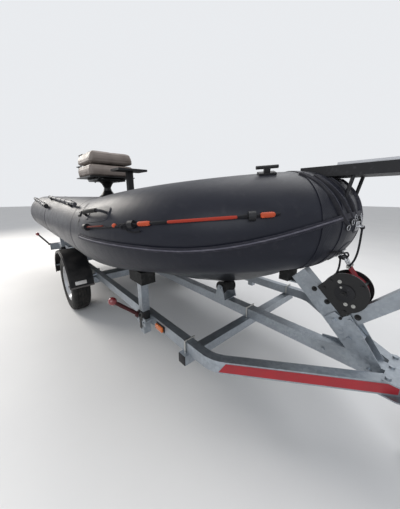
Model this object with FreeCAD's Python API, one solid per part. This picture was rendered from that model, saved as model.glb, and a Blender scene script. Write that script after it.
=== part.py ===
import FreeCAD, Part
import math
import os

# An inflatable boat with a rigid V hull, parked on its own single-axle road trailer.
# Millimetres. While the pieces are made, x runs forward from the wheel axle, y to port and z up
# from the ground. At the end all of it moves along x, so that the origin lies on the ground
# under the middle of the whole length.

V = FreeCAD.Vector
X_AXIS, Y_AXIS, Z_AXIS = V(1, 0, 0), V(0, 1, 0), V(0, 0, 1)
STARBOARD, PORT = -1, 1
SIDES = (("starboard", STARBOARD), ("port", PORT))

# Gaps
SEAT_GAP = 0.3
RUNNING_GAP = 6
PIN_GAP = 0.3

# Buoyancy tubes
TUBE_RADIUS = 215
TUBE_HALF_SPAN = 565
TUBE_CENTRE_Z = 900
STERN_CONE_X = -1400
STERN_CONE_LENGTH = 250
STERN_END_RADIUS = 95
STERN_END_ROUND = 35
RISE_START_X = 880
RISE_RADIUS = 1500
RISE_ANGLE = 6.4
BOW_RADIUS = 1080
NOSE_INNER_RADIUS = 63.8

# Hull, deck and transom
KEEL_Z = 455
KEEL_FLAT_X = 850
KEEL_RADIUS = 2000
HULL_AFT_X = -1250
DECK_Z = 730
TRANSOM_THICKNESS = 40
TRANSOM_TOP_Z = 1060
MOTOR_SHAFT_HEIGHT = 510
MOTOR_CUT_HALF_WIDTH = 225
PAD_HALF_WIDTH = 130
PAD_HEIGHT = 190
PAD_THICKNESS = 8
PAD_DROP = 12
# Hull stations: x, half width at the chine, height of the chine, height of the top edge
STATIONS = (
    (HULL_AFT_X, 450, 640, DECK_Z),
    (850, 450, 640, DECK_Z),
    (1150, 432, 652, 742),
    (1450, 362, 690, 785),
    (1650, 258, 728, 812),
    (1800, 160, 762, 832),
    (1900, 82, 788, 846),
    (1950, 28, 806, 852),
)

# What is glued round the tubes
STRAKE_HEIGHT = 24
STRAKE_PROUD = 7
STRAKE_START = 25
STRAKE_LEVEL_END_X = 1650
STRAKE_SWEEP_RADIUS = 960
STRAKE_TILTS = (-34, 12)
BAND_THICKNESS = 2.5
BAND_SPREAD = 5
BAND_ANGLES = (-24, -12, 12, 24)
ROPE_RADIUS = 5
ROPE_HEIGHT_ANGLE = 11
ROPE_STANDOFF = 12
# Places on the lifeline, as shares of the way round the bow arc to the nose
ROPE_SPAN = (0.12, 0.96)
GRIP_RADIUS = 11
GRIPS = ((0.48, 0.532), (0.6, 0.83), (0.9, 0.944))
HOLDER_RADIUS = 17
HOLDERS = (0.14, 0.44, 0.864)
HOLDER_SHARE = 0.022
HANDLE_SHARE = 0.2
HANDLE_TILT = 28
CLEAT_SHARE, CLEAT_TILT = 0.96, 70
# Poles clipped on the starboard tube: x and tilt above level of the aft end and the fore end, radius
STOWED_POLES = ((-1300, 52, -100, 34, 14), (-400, 62, 860, 46, 11))
POLE_DISTANCE = TUBE_RADIUS + 26
POLE_GRIP_RADIUS, POLE_GRIP_LENGTH = 19, 70
CLIP_SHARES = (0.12, 0.86)
# Rings on the nose, below its widest line
EYE_TILT = -42
RING_TILT = -8
RING_HEIGHT = 26
RING_HALF_WIDTH = 20
RING_WIRE = 4
HOOK_LENGTH = 46
HOOK_PIN_RADIUS = 5

# Ropes: points of each route, chosen by hand
CORD_RADIUS = 4
CORD_ARC_SHARE = 0.45
PAINTER_ROUTE = ((2172, 0, 997), (2174, -5, 962), (2176, -12, 922), (2175, -18, 884),
                 (2168, -22, 854), (2159, -22, 838))
EYE_ROPE_ROUTE = ((2121, -28.5, 868), (2124, -31, 842), (2122, -31, 812), (2114, -26, 786),
                  (2104.4, -19, 763.6))

# Trailer frame
RAIL_TOP_Z = 440
RAIL_HEIGHT = 60
RAIL_WIDTH = 45
RAIL_WALL = 3
RAIL_HALF_SPAN = 497
RAIL_REAR_X = -1440
RAIL_BEND_X = 1829
RAIL_BEND_RADIUS = 150
RAIL_TURN = 38.8
DRAWBAR_WIDTH = 60
DRAWBAR_REAR_X = 215
DRAWBAR_FRONT_X = 2800
CROSS_WIDTH = 50
CROSS_HEIGHT = 50
CROSS_WALL = 3
REAR_CROSS_SETBACK = 190
CROSS_XS = (RAIL_REAR_X + REAR_CROSS_SETBACK, -560, 254, 1667)
U_BOLT_RADIUS = 5
JOINT_PLATE_X = (2345, 2520)
JOINT_PLATE_THICKNESS = 6
JOINT_PLATE_HALF_WIDTH = 105
BOLT_RADIUS = 6

# Wheels and axle
TYRE_RADIUS = 280
TYRE_WIDTH = 158
BEAD_RADIUS = 165
BEAD_INSET = 20
RIM_WALL = 4
WHEEL_HALF_TRACK = 642
AXLE_TUBE_X = 150
AXLE_TUBE_SIZE = 80
AXLE_TUBE_Z = 325
ARM_Y = (515, 540)
STUB_RADIUS = 15
HUB_RADIUS = 38
FLANGE_Y = 660
FLANGE_THICKNESS = 10
MUDGUARD_RADIUS = 340
MUDGUARD_THICKNESS = 4
MUDGUARD_LIP = 26
MUDGUARD_Y = (548, 745)
MUDGUARD_SWEEP = (8, 172)
MUDGUARD_STAY_RADIUS = 10
MUDGUARD_STAY_Z = 410

# What carries the boat
ROLLER_WAIST_RADIUS = 30
ROLLER_END_RADIUS = 45
ROLLER_HALF_LENGTH = 50
ROLLER_PIN_RADIUS = 8
ROLLER_PLATE = 5
ROLLER_OFFSET = 81
FRONT_ROLLER_X = 1450
SUPPORT_XS = (-950, 1300)
SUPPORT_SIZE = 45
SUPPORT_BOTTOM_Z = 325
SUPPORT_TOP_Z = 655
SUPPORT_PAD_HALF_LENGTH = 75
SUPPORT_PAD_HALF_WIDTH = 42

# Winch post, its forward arm, the bow stop and the winch
POST_FOOT = V(2230, 0, 495)
POST_HEAD_X = 1950
POST_HEAD_ABOVE_STOP = 52
POST_DEPTH = 80
POST_WIDTH = 50
ARM_ROOT = 92
ARM_LENGTH = 300
ARM_DEPTH = 57
GUSSET_THICKNESS = 6
STOP_X = (1864, 1914)
STOP_HALF_WIDTH = 48
STOP_DEPTH = 46
WINCH_ALONG_POST = 200
WINCH_CENTRE_HEIGHT = 78
WINCH_PLATE_RADIUS = 88
WINCH_HALF_GAP = 34
WINCH_PLATE = 5
SPOOL_HUB_RADIUS = 18
STRAP_ROLL_RADIUS = 62
STRAP_HALF_WIDTH = 25
STRAP_THICKNESS = 3
CRANK_LENGTH = 190

# Coupling and jockey wheel
COUPLING_X = (2700, 3060)
BALL_X = 3015
BALL_Z = 405
BALL_RADIUS = 25.5
JOCKEY_X = 2600
JOCKEY_Y = 88
JOCKEY_OUTER_RADIUS = 24
JOCKEY_INNER_RADIUS = 21
JOCKEY_OUTER_Z = (365, 850)
JOCKEY_INNER_Z = (235, 700)
JOCKEY_WHEEL_RADIUS = 100
JOCKEY_WHEEL_WIDTH = 50
JOCKEY_TRAIL = 45
FORK_CROWN_Z = (212, 229)
FORK_PLATE = 5
CASTOR_PIN_RADIUS = 12

# Lights
BOARD_HALF_LENGTH = 625
BOARD_HEIGHT = 95
BOARD_THICKNESS = 22
LAMP_LENGTH = 215
LAMP_HEIGHT = 92
LAMP_DEPTH = 42
LAMP_INSET = 20
ARM_RADIUS = 11
LENS_RADIUS = 24
REAR_ARM_TIP = V(-1500, 745, 590)
FRONT_ARM_FOOT = V(1268, 566, 432)
FRONT_ARM_TIP = V(1236, 700, 552)

# Seat, posts and thwart
SEAT_X = 200
SEAT_Y = -290
THWART_HALF_LENGTH = 150
THWART_Z = (1065, 1090)
PEDESTAL_TOP_Z = 1232
SEAT_BASE_Z = 1285
SEAT_LENGTH = 420
SEAT_WIDTH = 450
CUSHION_THICKNESS = 95
BACK_THICKNESS = 95
SEAT_FOLD_GAP = 8
SEAT_HINGE_RADIUS = 9
SEAT_PIN_RADIUS = 5
SEAT_PAN = 8
POST_X, POST_Y = 604, -248
POST_PLATE_Z = 1312
DISPLAY_X, DISPLAY_Y, DISPLAY_Z = 900, -100, 1160

# Bow bracket
BRACKET_X = (1930, 2262)
BRACKET_HALF_WIDTH = 80
BRACKET_Z = (1196, 1236)
BRACKET_RAIL_X = 2070
END_BLOCK_LENGTH = 60


def vec_on(angle_deg):
    """Cosine and sine of an angle in degrees."""
    turn = math.radians(angle_deg)
    return math.cos(turn), math.sin(turn)


def keel_z(x):
    """Height of the keel: level, then rising along an arc to the stem."""
    if x <= KEEL_FLAT_X:
        return KEEL_Z
    return KEEL_Z + KEEL_RADIUS - math.sqrt(KEEL_RADIUS ** 2 - (x - KEEL_FLAT_X) ** 2)


# Places that follow from the sizes above
NOSE_RADIUS = TUBE_RADIUS + NOSE_INNER_RADIUS
BOW_TURN = math.degrees(math.acos((BOW_RADIUS - TUBE_HALF_SPAN) / (BOW_RADIUS - NOSE_RADIUS)))
RISE_COS, RISE_SIN = vec_on(RISE_ANGLE)
TURN_COS, TURN_SIN = vec_on(BOW_TURN)
BOW_ALONG = V(RISE_COS, 0, RISE_SIN)
BOW_NORMAL = V(-RISE_SIN, 0, RISE_COS)
BOW_ORIGIN = V(RISE_START_X + RISE_RADIUS * RISE_SIN, 0,
               TUBE_CENTRE_Z + RISE_RADIUS * (1 - RISE_COS))
NOSE_CENTRE = (BOW_RADIUS - NOSE_RADIUS) * TURN_SIN
STOP_BOTTOM_Z = keel_z(sum(STOP_X) / 2) - STOP_DEPTH
POST_HEAD = V(POST_HEAD_X, 0, STOP_BOTTOM_Z + POST_HEAD_ABOVE_STOP)
POST_ALONG = (POST_HEAD - POST_FOOT).normalize()
POST_NORMAL = V(POST_ALONG.z, 0, -POST_ALONG.x)
RAIL_BOTTOM_Z = RAIL_TOP_Z - RAIL_HEIGHT
WHEEL_CENTRE = V(0, WHEEL_HALF_TRACK, TYRE_RADIUS)
STERN_X = STERN_CONE_X - STERN_CONE_LENGTH
ORIGIN_X = (STERN_X + COUPLING_X[1]) / 2


def bow_point(along, across, above=0):
    """A place in the bow's tilted plane: forward from the start of the bow arcs, to port, up."""
    return BOW_ORIGIN + BOW_ALONG * along + V(0, across, 0) + BOW_NORMAL * above


def box(x_span, y_span, z_span):
    size = [span[1] - span[0] for span in (x_span, y_span, z_span)]
    return Part.makeBox(size[0], size[1], size[2], V(x_span[0], y_span[0], z_span[0]))


def rod(start, end, radius):
    return Part.makeCylinder(radius, (end - start).Length, start, end - start)


def polygon_face(points):
    return Part.Face(Part.makePolygon(points + [points[0]]))


def side_prism(points, y_span):
    """A prism whose outline is seen from the side: points are x, z."""
    face = polygon_face([V(x, y_span[0], z) for x, z in points])
    return face.extrude(V(0, y_span[1] - y_span[0], 0))


def plan_prism(points, z_span):
    """A prism whose outline is seen from above: points are x, y."""
    face = polygon_face([V(x, y, z_span[0]) for x, y in points])
    return face.extrude(V(0, 0, z_span[1] - z_span[0]))


def end_prism(points, x_span):
    """A prism whose outline is seen from astern: points are y, z."""
    face = polygon_face([V(x_span[0], y, z) for y, z in points])
    return face.extrude(V(x_span[1] - x_span[0], 0, 0))


def turned(points, centre, axis=Y_AXIS, angle=360):
    """Revolve a closed outline of points about an axis through a centre."""
    return polygon_face(points).revolve(centre, axis, angle)


def fused(pieces):
    return pieces[0].fuse(pieces[1:]).removeSplitter()


def mirrored(shape):
    return shape.mirror(V(0, 0, 0), Y_AXIS)


def on_side(shape, side):
    """Shapes are made on the port side and mirrored to starboard."""
    return shape if side == PORT else mirrored(shape)


def both(shape):
    return [on_side(shape, side) for _, side in SIDES]


def on_both(shapes):
    return Part.makeCompound([copy for shape in shapes for copy in both(shape)])


def placed(shape, origin, along, outward):
    """Turn a shape made at the origin, so that its x runs along and its z outward, and move it."""
    turn = FreeCAD.Rotation(along, outward.cross(along), outward, "ZXY")
    moved = shape.copy()
    moved.Placement = FreeCAD.Placement(origin, turn)
    return moved


def many_sided(start, end, radius, sides=8):
    """A straight bar with flat sides, such as a small rod or a nut."""
    way = (end - start).normalize()
    across = way.cross(Z_AXIS if abs(way.z) < 0.9 else X_AXIS).normalize()
    up = way.cross(across)
    corners = []
    for index in range(sides):
        cosine, sine = vec_on(360 / sides * (index + 0.5))
        corners.append(start + (across * cosine + up * sine) * radius)
    return polygon_face(corners).extrude(end - start)


def mitred_rod(points, radius, sides=8):
    """A thin bent rod with flat sides and mitred corners; the points lie in one plane."""
    ways = [(after - before).normalize() for before, after in zip(points, points[1:])]
    normal = ways[0].cross(ways[1]).normalize()
    across = normal.cross(ways[0])
    ring = []
    for index in range(sides):
        cosine, sine = vec_on(360 / sides * (index + 0.5))
        ring.append(points[0] + (across * cosine + normal * sine) * radius)
    sections = [ring]
    for way, next_way, corner in zip(ways, ways[1:] + ways[-1:], points[1:]):
        mitre = way + next_way
        ring = [spot + way * ((corner - spot).dot(mitre) / way.dot(mitre)) for spot in ring]
        sections.append(ring)
    return loft_of(sections)


def bent_rod(points, radius, bends):
    """A round rod along straight runs joined by tangent arcs, one bend radius a corner."""
    pieces = []
    start = points[0]
    for before, corner, after, bend in zip(points, points[1:], points[2:], bends):
        come = (before - corner).normalize()
        leave = (after - corner).normalize()
        half = come.getAngle(leave) / 2
        setback = bend / math.tan(half)
        arc_start = corner + come * setback
        arc_end = corner + leave * setback
        centre = corner + (come + leave).normalize() * (bend / math.sin(half))
        axis = leave.cross(come)
        turn = 180 - math.degrees(2 * half)
        pieces.append(rod(start, arc_start, radius))
        pieces.append(disc(arc_start, come, radius).revolve(centre, axis, turn))
        start = arc_end
    pieces.append(rod(start, points[-1], radius))
    return pieces[0].fuse(pieces[1:])


def cord(name, route):
    """A rope on its route, each arc as large as its two runs allow."""
    points = [V(*place) for place in route]
    bends = []
    for before, corner, after in zip(points, points[1:], points[2:]):
        come, leave = before - corner, after - corner
        setback = CORD_ARC_SHARE * min(come.Length, leave.Length)
        bends.append(setback * math.tan(come.getAngle(leave) / 2))
    print(name, "arc radii", [round(bend) for bend in bends])
    return bent_rod(points, CORD_RADIUS, bends)


def link_plate(first, first_radius, second, second_radius, y_span):
    """A flat link between two round ends, seen from the side: first and second are x, z."""
    axis = V(second[0] - first[0], 0, second[1] - first[1])
    length = axis.Length
    axis.normalize()
    normal = V(-axis.z, 0, axis.x)
    lean = (first_radius - second_radius) / length
    rise = math.sqrt(1 - lean * lean)
    corners = []
    for (x, z), radius, way in ((first, first_radius, 1), (second, second_radius, 1),
                                (second, second_radius, -1), (first, first_radius, -1)):
        reach = axis * (lean * radius) + normal * (way * rise * radius)
        corners.append((x + reach.x, z + reach.z))
    ends = [Part.makeCylinder(radius, y_span[1] - y_span[0], V(x, y_span[0], z), Y_AXIS)
            for (x, z), radius in ((first, first_radius), (second, second_radius))]
    return fused([side_prism(corners, y_span)] + ends)


def disc(centre, normal, radius):
    return Part.Face(Part.Wire(Part.makeCircle(radius, centre, normal)))


# Tubes. The port side is made, and the starboard side is its mirror image.

def straight_tube(radius):
    start = V(STERN_CONE_X, TUBE_HALF_SPAN, TUBE_CENTRE_Z)
    return rod(start, V(RISE_START_X, TUBE_HALF_SPAN, TUBE_CENTRE_Z), radius)


def rise_tube(radius):
    face = disc(V(RISE_START_X, TUBE_HALF_SPAN, TUBE_CENTRE_Z), X_AXIS, radius)
    centre = V(RISE_START_X, TUBE_HALF_SPAN, TUBE_CENTRE_Z + RISE_RADIUS)
    return face.revolve(centre, V(0, -1, 0), RISE_ANGLE)


def turned_on_bow(face, degrees):
    """Revolve a face about the bow arc's own axis, from the arc's start towards the nose."""
    return face.revolve(bow_point(0, TUBE_HALF_SPAN - BOW_RADIUS), BOW_NORMAL, -degrees)


def bow_tube(radius):
    return turned_on_bow(disc(bow_point(0, TUBE_HALF_SPAN), BOW_ALONG, radius), BOW_TURN)


def nose_face_at(points_from_centre, angle):
    """A face in the plane through the nose arc's axis, turned to an angle from straight ahead."""
    cosine, sine = vec_on(angle)
    corners = [bow_point(NOSE_CENTRE + reach * cosine, reach * sine, above)
               for reach, above in points_from_centre]
    return polygon_face(corners)


def nose_sweep(face, degrees):
    return face.revolve(bow_point(NOSE_CENTRE, 0), BOW_NORMAL, degrees)


def nose_tube(radius, first=-(90 - BOW_TURN), last=90 - BOW_TURN):
    cosine, sine = vec_on(first)
    centre = bow_point(NOSE_CENTRE + NOSE_RADIUS * cosine, NOSE_RADIUS * sine)
    along = BOW_ALONG * (-sine) + V(0, cosine, 0)
    return nose_sweep(disc(centre, along, radius), last - first)


def on_bow(share, tilt, reach=0):
    """By the port bow tube: a place off its skin, and the directions along it and out of it."""
    cosine, sine = vec_on(BOW_TURN * share)
    lean_cos, lean_sin = vec_on(tilt)
    along = BOW_ALONG * cosine - Y_AXIS * sine
    outward = (Y_AXIS * cosine + BOW_ALONG * sine) * lean_cos + BOW_NORMAL * lean_sin
    middle = bow_point(BOW_RADIUS * sine, TUBE_HALF_SPAN - BOW_RADIUS * (1 - cosine))
    return middle + outward * (TUBE_RADIUS + reach), along, outward


def on_nose(tilt, reach=0):
    """On the middle line of the nose: a place off its skin, and directions up it and out of it."""
    cosine, sine = vec_on(tilt)
    outward = BOW_ALONG * cosine + BOW_NORMAL * sine
    along = BOW_NORMAL * cosine - BOW_ALONG * sine
    return bow_point(NOSE_CENTRE + NOSE_RADIUS, 0) + outward * (TUBE_RADIUS + reach), along, outward


def stern_cone():
    """The tapered end of a tube, its rim rounded over."""
    start, end = STERN_CONE_X, STERN_X
    shoulder = end + STERN_END_ROUND
    blend = STERN_END_ROUND * math.sin(math.radians(45))
    axis_y, axis_z = TUBE_HALF_SPAN, TUBE_CENTRE_Z

    def at(x, radius):
        return V(x, axis_y, axis_z + radius)

    rim = Part.Arc(at(shoulder, STERN_END_RADIUS + STERN_END_ROUND),
                   at(shoulder - blend, STERN_END_RADIUS + blend),
                   at(end, STERN_END_RADIUS)).toShape()
    edges = [
        Part.makeLine(at(start, 0), at(start, TUBE_RADIUS)),
        Part.makeLine(at(start, TUBE_RADIUS), at(shoulder, STERN_END_RADIUS + STERN_END_ROUND)),
        rim,
        Part.makeLine(at(end, STERN_END_RADIUS), at(end, 0)),
        Part.makeLine(at(end, 0), at(start, 0)),
    ]
    return Part.Face(Part.Wire(edges)).revolve(V(start, axis_y, axis_z), X_AXIS, 360)


def side_tube():
    parts = [straight_tube(TUBE_RADIUS), rise_tube(TUBE_RADIUS), bow_tube(TUBE_RADIUS)]
    return fused(parts + [stern_cone()])


def tube_space(radius):
    """All the room that the tubes take, for cutting what meets them."""
    sides = []
    for _, side in SIDES:
        sides += [on_side(make(radius), side) for make in (straight_tube, rise_tube, bow_tube)]
    return sides + [nose_tube(radius)]


def clear_of_tubes(shape):
    return shape.cut(tube_space(TUBE_RADIUS + SEAT_GAP))


# Hull and transom

def loft_of(section_points):
    wires = [Part.makePolygon(points + [points[0]]) for points in section_points]
    return Part.makeLoft(wires, True, True)


def hull_body():
    sections = []
    for x, half_width, chine_z, top_z in STATIONS:
        sections.append([V(x, 0, keel_z(x)), V(x, half_width, chine_z), V(x, half_width, top_z),
                         V(x, -half_width, top_z), V(x, -half_width, chine_z)])
    return clear_of_tubes(loft_of(sections))


def transom():
    """The stern board between the tubes, cut down for a motor, with a pad on each face."""
    front = HULL_AFT_X
    back = front - TRANSOM_THICKNESS
    motor_z = KEEL_Z + MOTOR_SHAFT_HEIGHT
    half_width, chine_z = STATIONS[0][1], STATIONS[0][2]
    half = [(0, KEEL_Z), (half_width, chine_z), (half_width + 20, TRANSOM_TOP_Z),
            (MOTOR_CUT_HALF_WIDTH + 75, TRANSOM_TOP_Z), (MOTOR_CUT_HALF_WIDTH, motor_z)]
    outline = half + [(-y, z) for y, z in reversed(half[1:])]
    board = clear_of_tubes(end_prism(outline, (back, front)))
    top = motor_z - PAD_DROP
    pad_width = (-PAD_HALF_WIDTH, PAD_HALF_WIDTH)
    outer = box((back - PAD_THICKNESS, back), pad_width, (top - PAD_HEIGHT, top))
    inner = box((front, front + PAD_THICKNESS), pad_width, (top - PAD_HEIGHT, top))
    return fused([board, outer, inner])


# What is glued round the tubes

def strake_path(x):
    """Height of the strake's middle line: level, then sweeping up to the nose along an arc."""
    level = BOW_ORIGIN.z
    if x <= STRAKE_LEVEL_END_X:
        return level
    run = x - STRAKE_LEVEL_END_X
    return level + STRAKE_SWEEP_RADIUS - math.sqrt(STRAKE_SWEEP_RADIUS ** 2 - run ** 2)


def strake_shell(inner, outer, half_height):
    """What lies between two radii on the outside of the bow, along the strake's line."""
    centre = bow_point(0, TUBE_HALF_SPAN)
    corners = []
    for radius, tilts in ((inner, STRAKE_TILTS), (outer, STRAKE_TILTS[::-1])):
        for tilt in (tilts[0], sum(STRAKE_TILTS) / 2, tilts[1]):
            cosine, sine = vec_on(tilt)
            corners.append(V(0, radius * cosine, 0) + BOW_NORMAL * (radius * sine))
    section = [Part.Arc(*corners[0:3]).toShape(), Part.makeLine(corners[2], corners[3]),
               Part.Arc(*corners[3:6]).toShape(), Part.makeLine(corners[5], corners[0])]
    face = Part.Face(Part.Wire(section))
    bow_face = face.translated(centre)
    nose_face = face.translated(bow_point(NOSE_CENTRE, NOSE_RADIUS))
    nose_face.rotate(bow_point(NOSE_CENTRE, 0), BOW_NORMAL, -BOW_TURN)
    side = turned_on_bow(bow_face, BOW_TURN)
    nose = nose_sweep(nose_face, -2 * (90 - BOW_TURN))
    front = BOW_ORIGIN.x + NOSE_CENTRE + NOSE_RADIUS + 2 * TUBE_RADIUS
    turn = math.degrees(math.asin((front - STRAKE_LEVEL_END_X) / (2 * STRAKE_SWEEP_RADIUS)))
    xs = [BOW_ORIGIN.x + STRAKE_START, STRAKE_LEVEL_END_X]
    for step in range(1, 7):
        xs.append(STRAKE_LEVEL_END_X + STRAKE_SWEEP_RADIUS * math.sin(math.radians(turn * step / 4)))
    low = [(x, strake_path(x) - half_height) for x in xs]
    high = [(x, strake_path(x) + half_height) for x in reversed(xs)]
    ribbon = side_prism(low + high, (-2 * TUBE_HALF_SPAN, 2 * TUBE_HALF_SPAN))
    return fused([piece.common(ribbon) for piece in (side, mirrored(side), nose)])


def strake():
    """A rubbing strake along the outside of the bow, from one side to the other."""
    inner = TUBE_RADIUS + SEAT_GAP
    return strake_shell(inner, inner + STRAKE_PROUD, STRAKE_HEIGHT / 2)


def bow_bands(hull_solid):
    """Reinforcing bands round the nose, down to where the hull meets the tube."""
    bands = []
    outer = TUBE_RADIUS + SEAT_GAP + BAND_THICKNESS
    inner = TUBE_RADIUS + SEAT_GAP
    strake_room = strake_shell(TUBE_RADIUS - STRAKE_PROUD, TUBE_RADIUS + 2 * STRAKE_PROUD,
                               STRAKE_HEIGHT / 2 + SEAT_GAP)
    for angle in BAND_ANGLES:
        spread = BAND_SPREAD / 2
        ring = nose_tube(outer, angle - spread, angle + spread)
        core = nose_tube(inner, angle - spread - 1, angle + spread + 1)
        bands.append(ring.cut([core, strake_room, hull_solid]))
    return Part.makeCompound(bands)


def lifeline_face(radius, share):
    """A round section on the lifeline's own line, at a share of the way round the bow arc."""
    place, along, _ = on_bow(share, ROPE_HEIGHT_ANGLE, ROPE_STANDOFF)
    return disc(place, along, radius)


def lifeline_run(radius, first, last):
    """A round bar along the lifeline's line."""
    return turned_on_bow(lifeline_face(radius, first), BOW_TURN * (last - first))


def lifeline():
    return lifeline_run(ROPE_RADIUS, *ROPE_SPAN)


def lifeline_ring(radius, first, last):
    """A sleeve on the lifeline, bored for the rope."""
    spare = HOLDER_SHARE
    return lifeline_run(radius, first, last).cut(
        lifeline_run(ROPE_RADIUS + SEAT_GAP, first - spare, last + spare))


def grips():
    return [clear_of_tubes(lifeline_ring(GRIP_RADIUS, first, last)) for first, last in GRIPS]


def rope_holders():
    """Moulded lugs on the tube, with the lifeline through them."""
    return [clear_of_tubes(lifeline_ring(HOLDER_RADIUS, share, share + HOLDER_SHARE))
            for share in HOLDERS]


def cleat():
    """A horn cleat on top of the bow tube."""
    surface, along, outward = on_bow(CLEAT_SHARE, CLEAT_TILT)
    base = placed(box((-34, 34), (-20, 20), (-12, 7)), surface, along, outward)
    stem = placed(box((-12, 12), (-7, 7), (5, 24)), surface, along, outward)
    horns = placed(many_sided(V(-44, 0, 26), V(44, 0, 26), 7), surface, along, outward)
    return clear_of_tubes(fused([base, stem, horns]))


def pole_ends(x_aft, tilt_aft, x_fore, tilt_fore):
    """Where a pole clipped on the starboard tube starts and ends."""
    ends = []
    for x, tilt in ((x_aft, tilt_aft), (x_fore, tilt_fore)):
        cosine, sine = vec_on(tilt)
        ends.append(V(x, -TUBE_HALF_SPAN - POLE_DISTANCE * cosine,
                      TUBE_CENTRE_Z + POLE_DISTANCE * sine))
    return ends


def stowed_poles():
    poles = []
    for *places, radius in STOWED_POLES:
        start, end = pole_ends(*places)
        poles.append(rod(start, end, radius))
    return Part.makeCompound(poles)


def pole_clips():
    """Rubber clips on the tube that hold the poles, and the grip on the outer one's fore end."""
    clips = []
    for *places, radius in STOWED_POLES:
        start, end = pole_ends(*places)
        along = (end - start).normalize()
        for share in CLIP_SHARES:
            place = start + (end - start) * share
            outward = V(0, place.y + TUBE_HALF_SPAN, place.z - TUBE_CENTRE_Z).normalize()
            block = placed(box((-14, 14), (-radius - 7, radius + 7), (-POLE_DISTANCE / 5, radius / 2)),
                           place, along, outward)
            room = rod(start - along, end + along, radius + SEAT_GAP)
            clips.append(clear_of_tubes(block).cut(room))
    *places, radius = STOWED_POLES[0]
    start, end = pole_ends(*places)
    along = (end - start).normalize()
    clips.append(rod(end, end + along * POLE_GRIP_LENGTH, POLE_GRIP_RADIUS))
    return clips


# Trailer frame. The port rail is made, and starboard mirrors it.

def rail_outline(half_width, rear_x):
    """The plan of a rail: straight, a bend, then in towards the drawbar."""
    cosine, sine = vec_on(RAIL_TURN)
    tangent = RAIL_BEND_RADIUS * math.tan(math.radians(RAIL_TURN / 2))
    bend_start = RAIL_BEND_X - tangent
    centre = V(bend_start, RAIL_HALF_SPAN - RAIL_BEND_RADIUS, 0)
    run = (centre.y + RAIL_BEND_RADIUS * cosine) / sine
    half_cos, half_sin = vec_on(RAIL_TURN / 2)

    def edges_at(radius):
        start = V(rear_x, centre.y + radius, 0)
        first = centre + V(0, radius, 0)
        middle = centre + V(radius * half_sin, radius * half_cos, 0)
        second = centre + V(radius * sine, radius * cosine, 0)
        end = second + V(cosine, -sine, 0) * run
        return (start, end), [Part.makeLine(start, first), Part.Arc(first, middle, second).toShape(),
                              Part.makeLine(second, end)]

    outer_ends, outer = edges_at(RAIL_BEND_RADIUS + half_width)
    inner_ends, inner = edges_at(RAIL_BEND_RADIUS - half_width)
    closing = [Part.makeLine(outer_ends[1], inner_ends[1]),
               Part.makeLine(outer_ends[0], inner_ends[0])]
    return Part.Face(Part.Wire(Part.__sortEdges__(outer + inner + closing)))


def rail():
    outside = rail_outline(RAIL_WIDTH / 2, RAIL_REAR_X)
    inside = rail_outline(RAIL_WIDTH / 2 - RAIL_WALL, RAIL_REAR_X - 10)
    outside.translate(V(0, 0, RAIL_BOTTOM_Z))
    inside.translate(V(0, 0, RAIL_BOTTOM_Z + RAIL_WALL))
    tube = outside.extrude(V(0, 0, RAIL_HEIGHT))
    tube = tube.cut(inside.extrude(V(0, 0, RAIL_HEIGHT - 2 * RAIL_WALL)))
    beyond = box((RAIL_BEND_X, COUPLING_X[1]), (-RAIL_HALF_SPAN, DRAWBAR_WIDTH / 2),
                 (RAIL_BOTTOM_Z - 10, RAIL_TOP_Z + 10))
    return tube.cut(beyond)


def drawbar():
    half = DRAWBAR_WIDTH / 2
    bore = half - RAIL_WALL
    outside = box((DRAWBAR_REAR_X, DRAWBAR_FRONT_X), (-half, half), (RAIL_BOTTOM_Z, RAIL_TOP_Z))
    inside = box((DRAWBAR_REAR_X - 10, DRAWBAR_FRONT_X + 10), (-bore, bore),
                 (RAIL_BOTTOM_Z + RAIL_WALL, RAIL_TOP_Z - RAIL_WALL))
    return outside.cut(inside)


def u_bolt_spots():
    """Where U bolts clamp the rails and the drawbar to the cross members: x, y, half width."""
    spots = []
    for x in CROSS_XS:
        for y, width in ((-RAIL_HALF_SPAN, RAIL_WIDTH), (RAIL_HALF_SPAN, RAIL_WIDTH)):
            spots.append((x, y, width / 2))
        if x > DRAWBAR_REAR_X:
            spots.append((x, 0, DRAWBAR_WIDTH / 2))
    return spots


def u_bolt_legs(x, y, half_width, radius):
    reach = half_width + U_BOLT_RADIUS + SEAT_GAP
    bottom = RAIL_BOTTOM_Z - CROSS_HEIGHT - 16
    return [many_sided(V(x, y + way * reach, bottom), V(x, y + way * reach, RAIL_TOP_Z), radius)
            for way in (-1, 1)]


def u_bolts():
    bolts = []
    bottom = RAIL_BOTTOM_Z - CROSS_HEIGHT - 16
    top = RAIL_TOP_Z + U_BOLT_RADIUS + SEAT_GAP
    for x, y, half_width in u_bolt_spots():
        reach = half_width + U_BOLT_RADIUS + SEAT_GAP
        path = [V(x, y - reach, bottom), V(x, y - reach, top), V(x, y + reach, top),
                V(x, y + reach, bottom)]
        bolt = mitred_rod(path, U_BOLT_RADIUS)
        nuts = [many_sided(V(x, y + way * reach, bottom + 4), V(x, y + way * reach, bottom + 15.7),
                           U_BOLT_RADIUS * 1.8, 6) for way in (-1, 1)]
        bolts.append(fused([bolt] + nuts))
    return Part.makeCompound(bolts)


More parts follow.
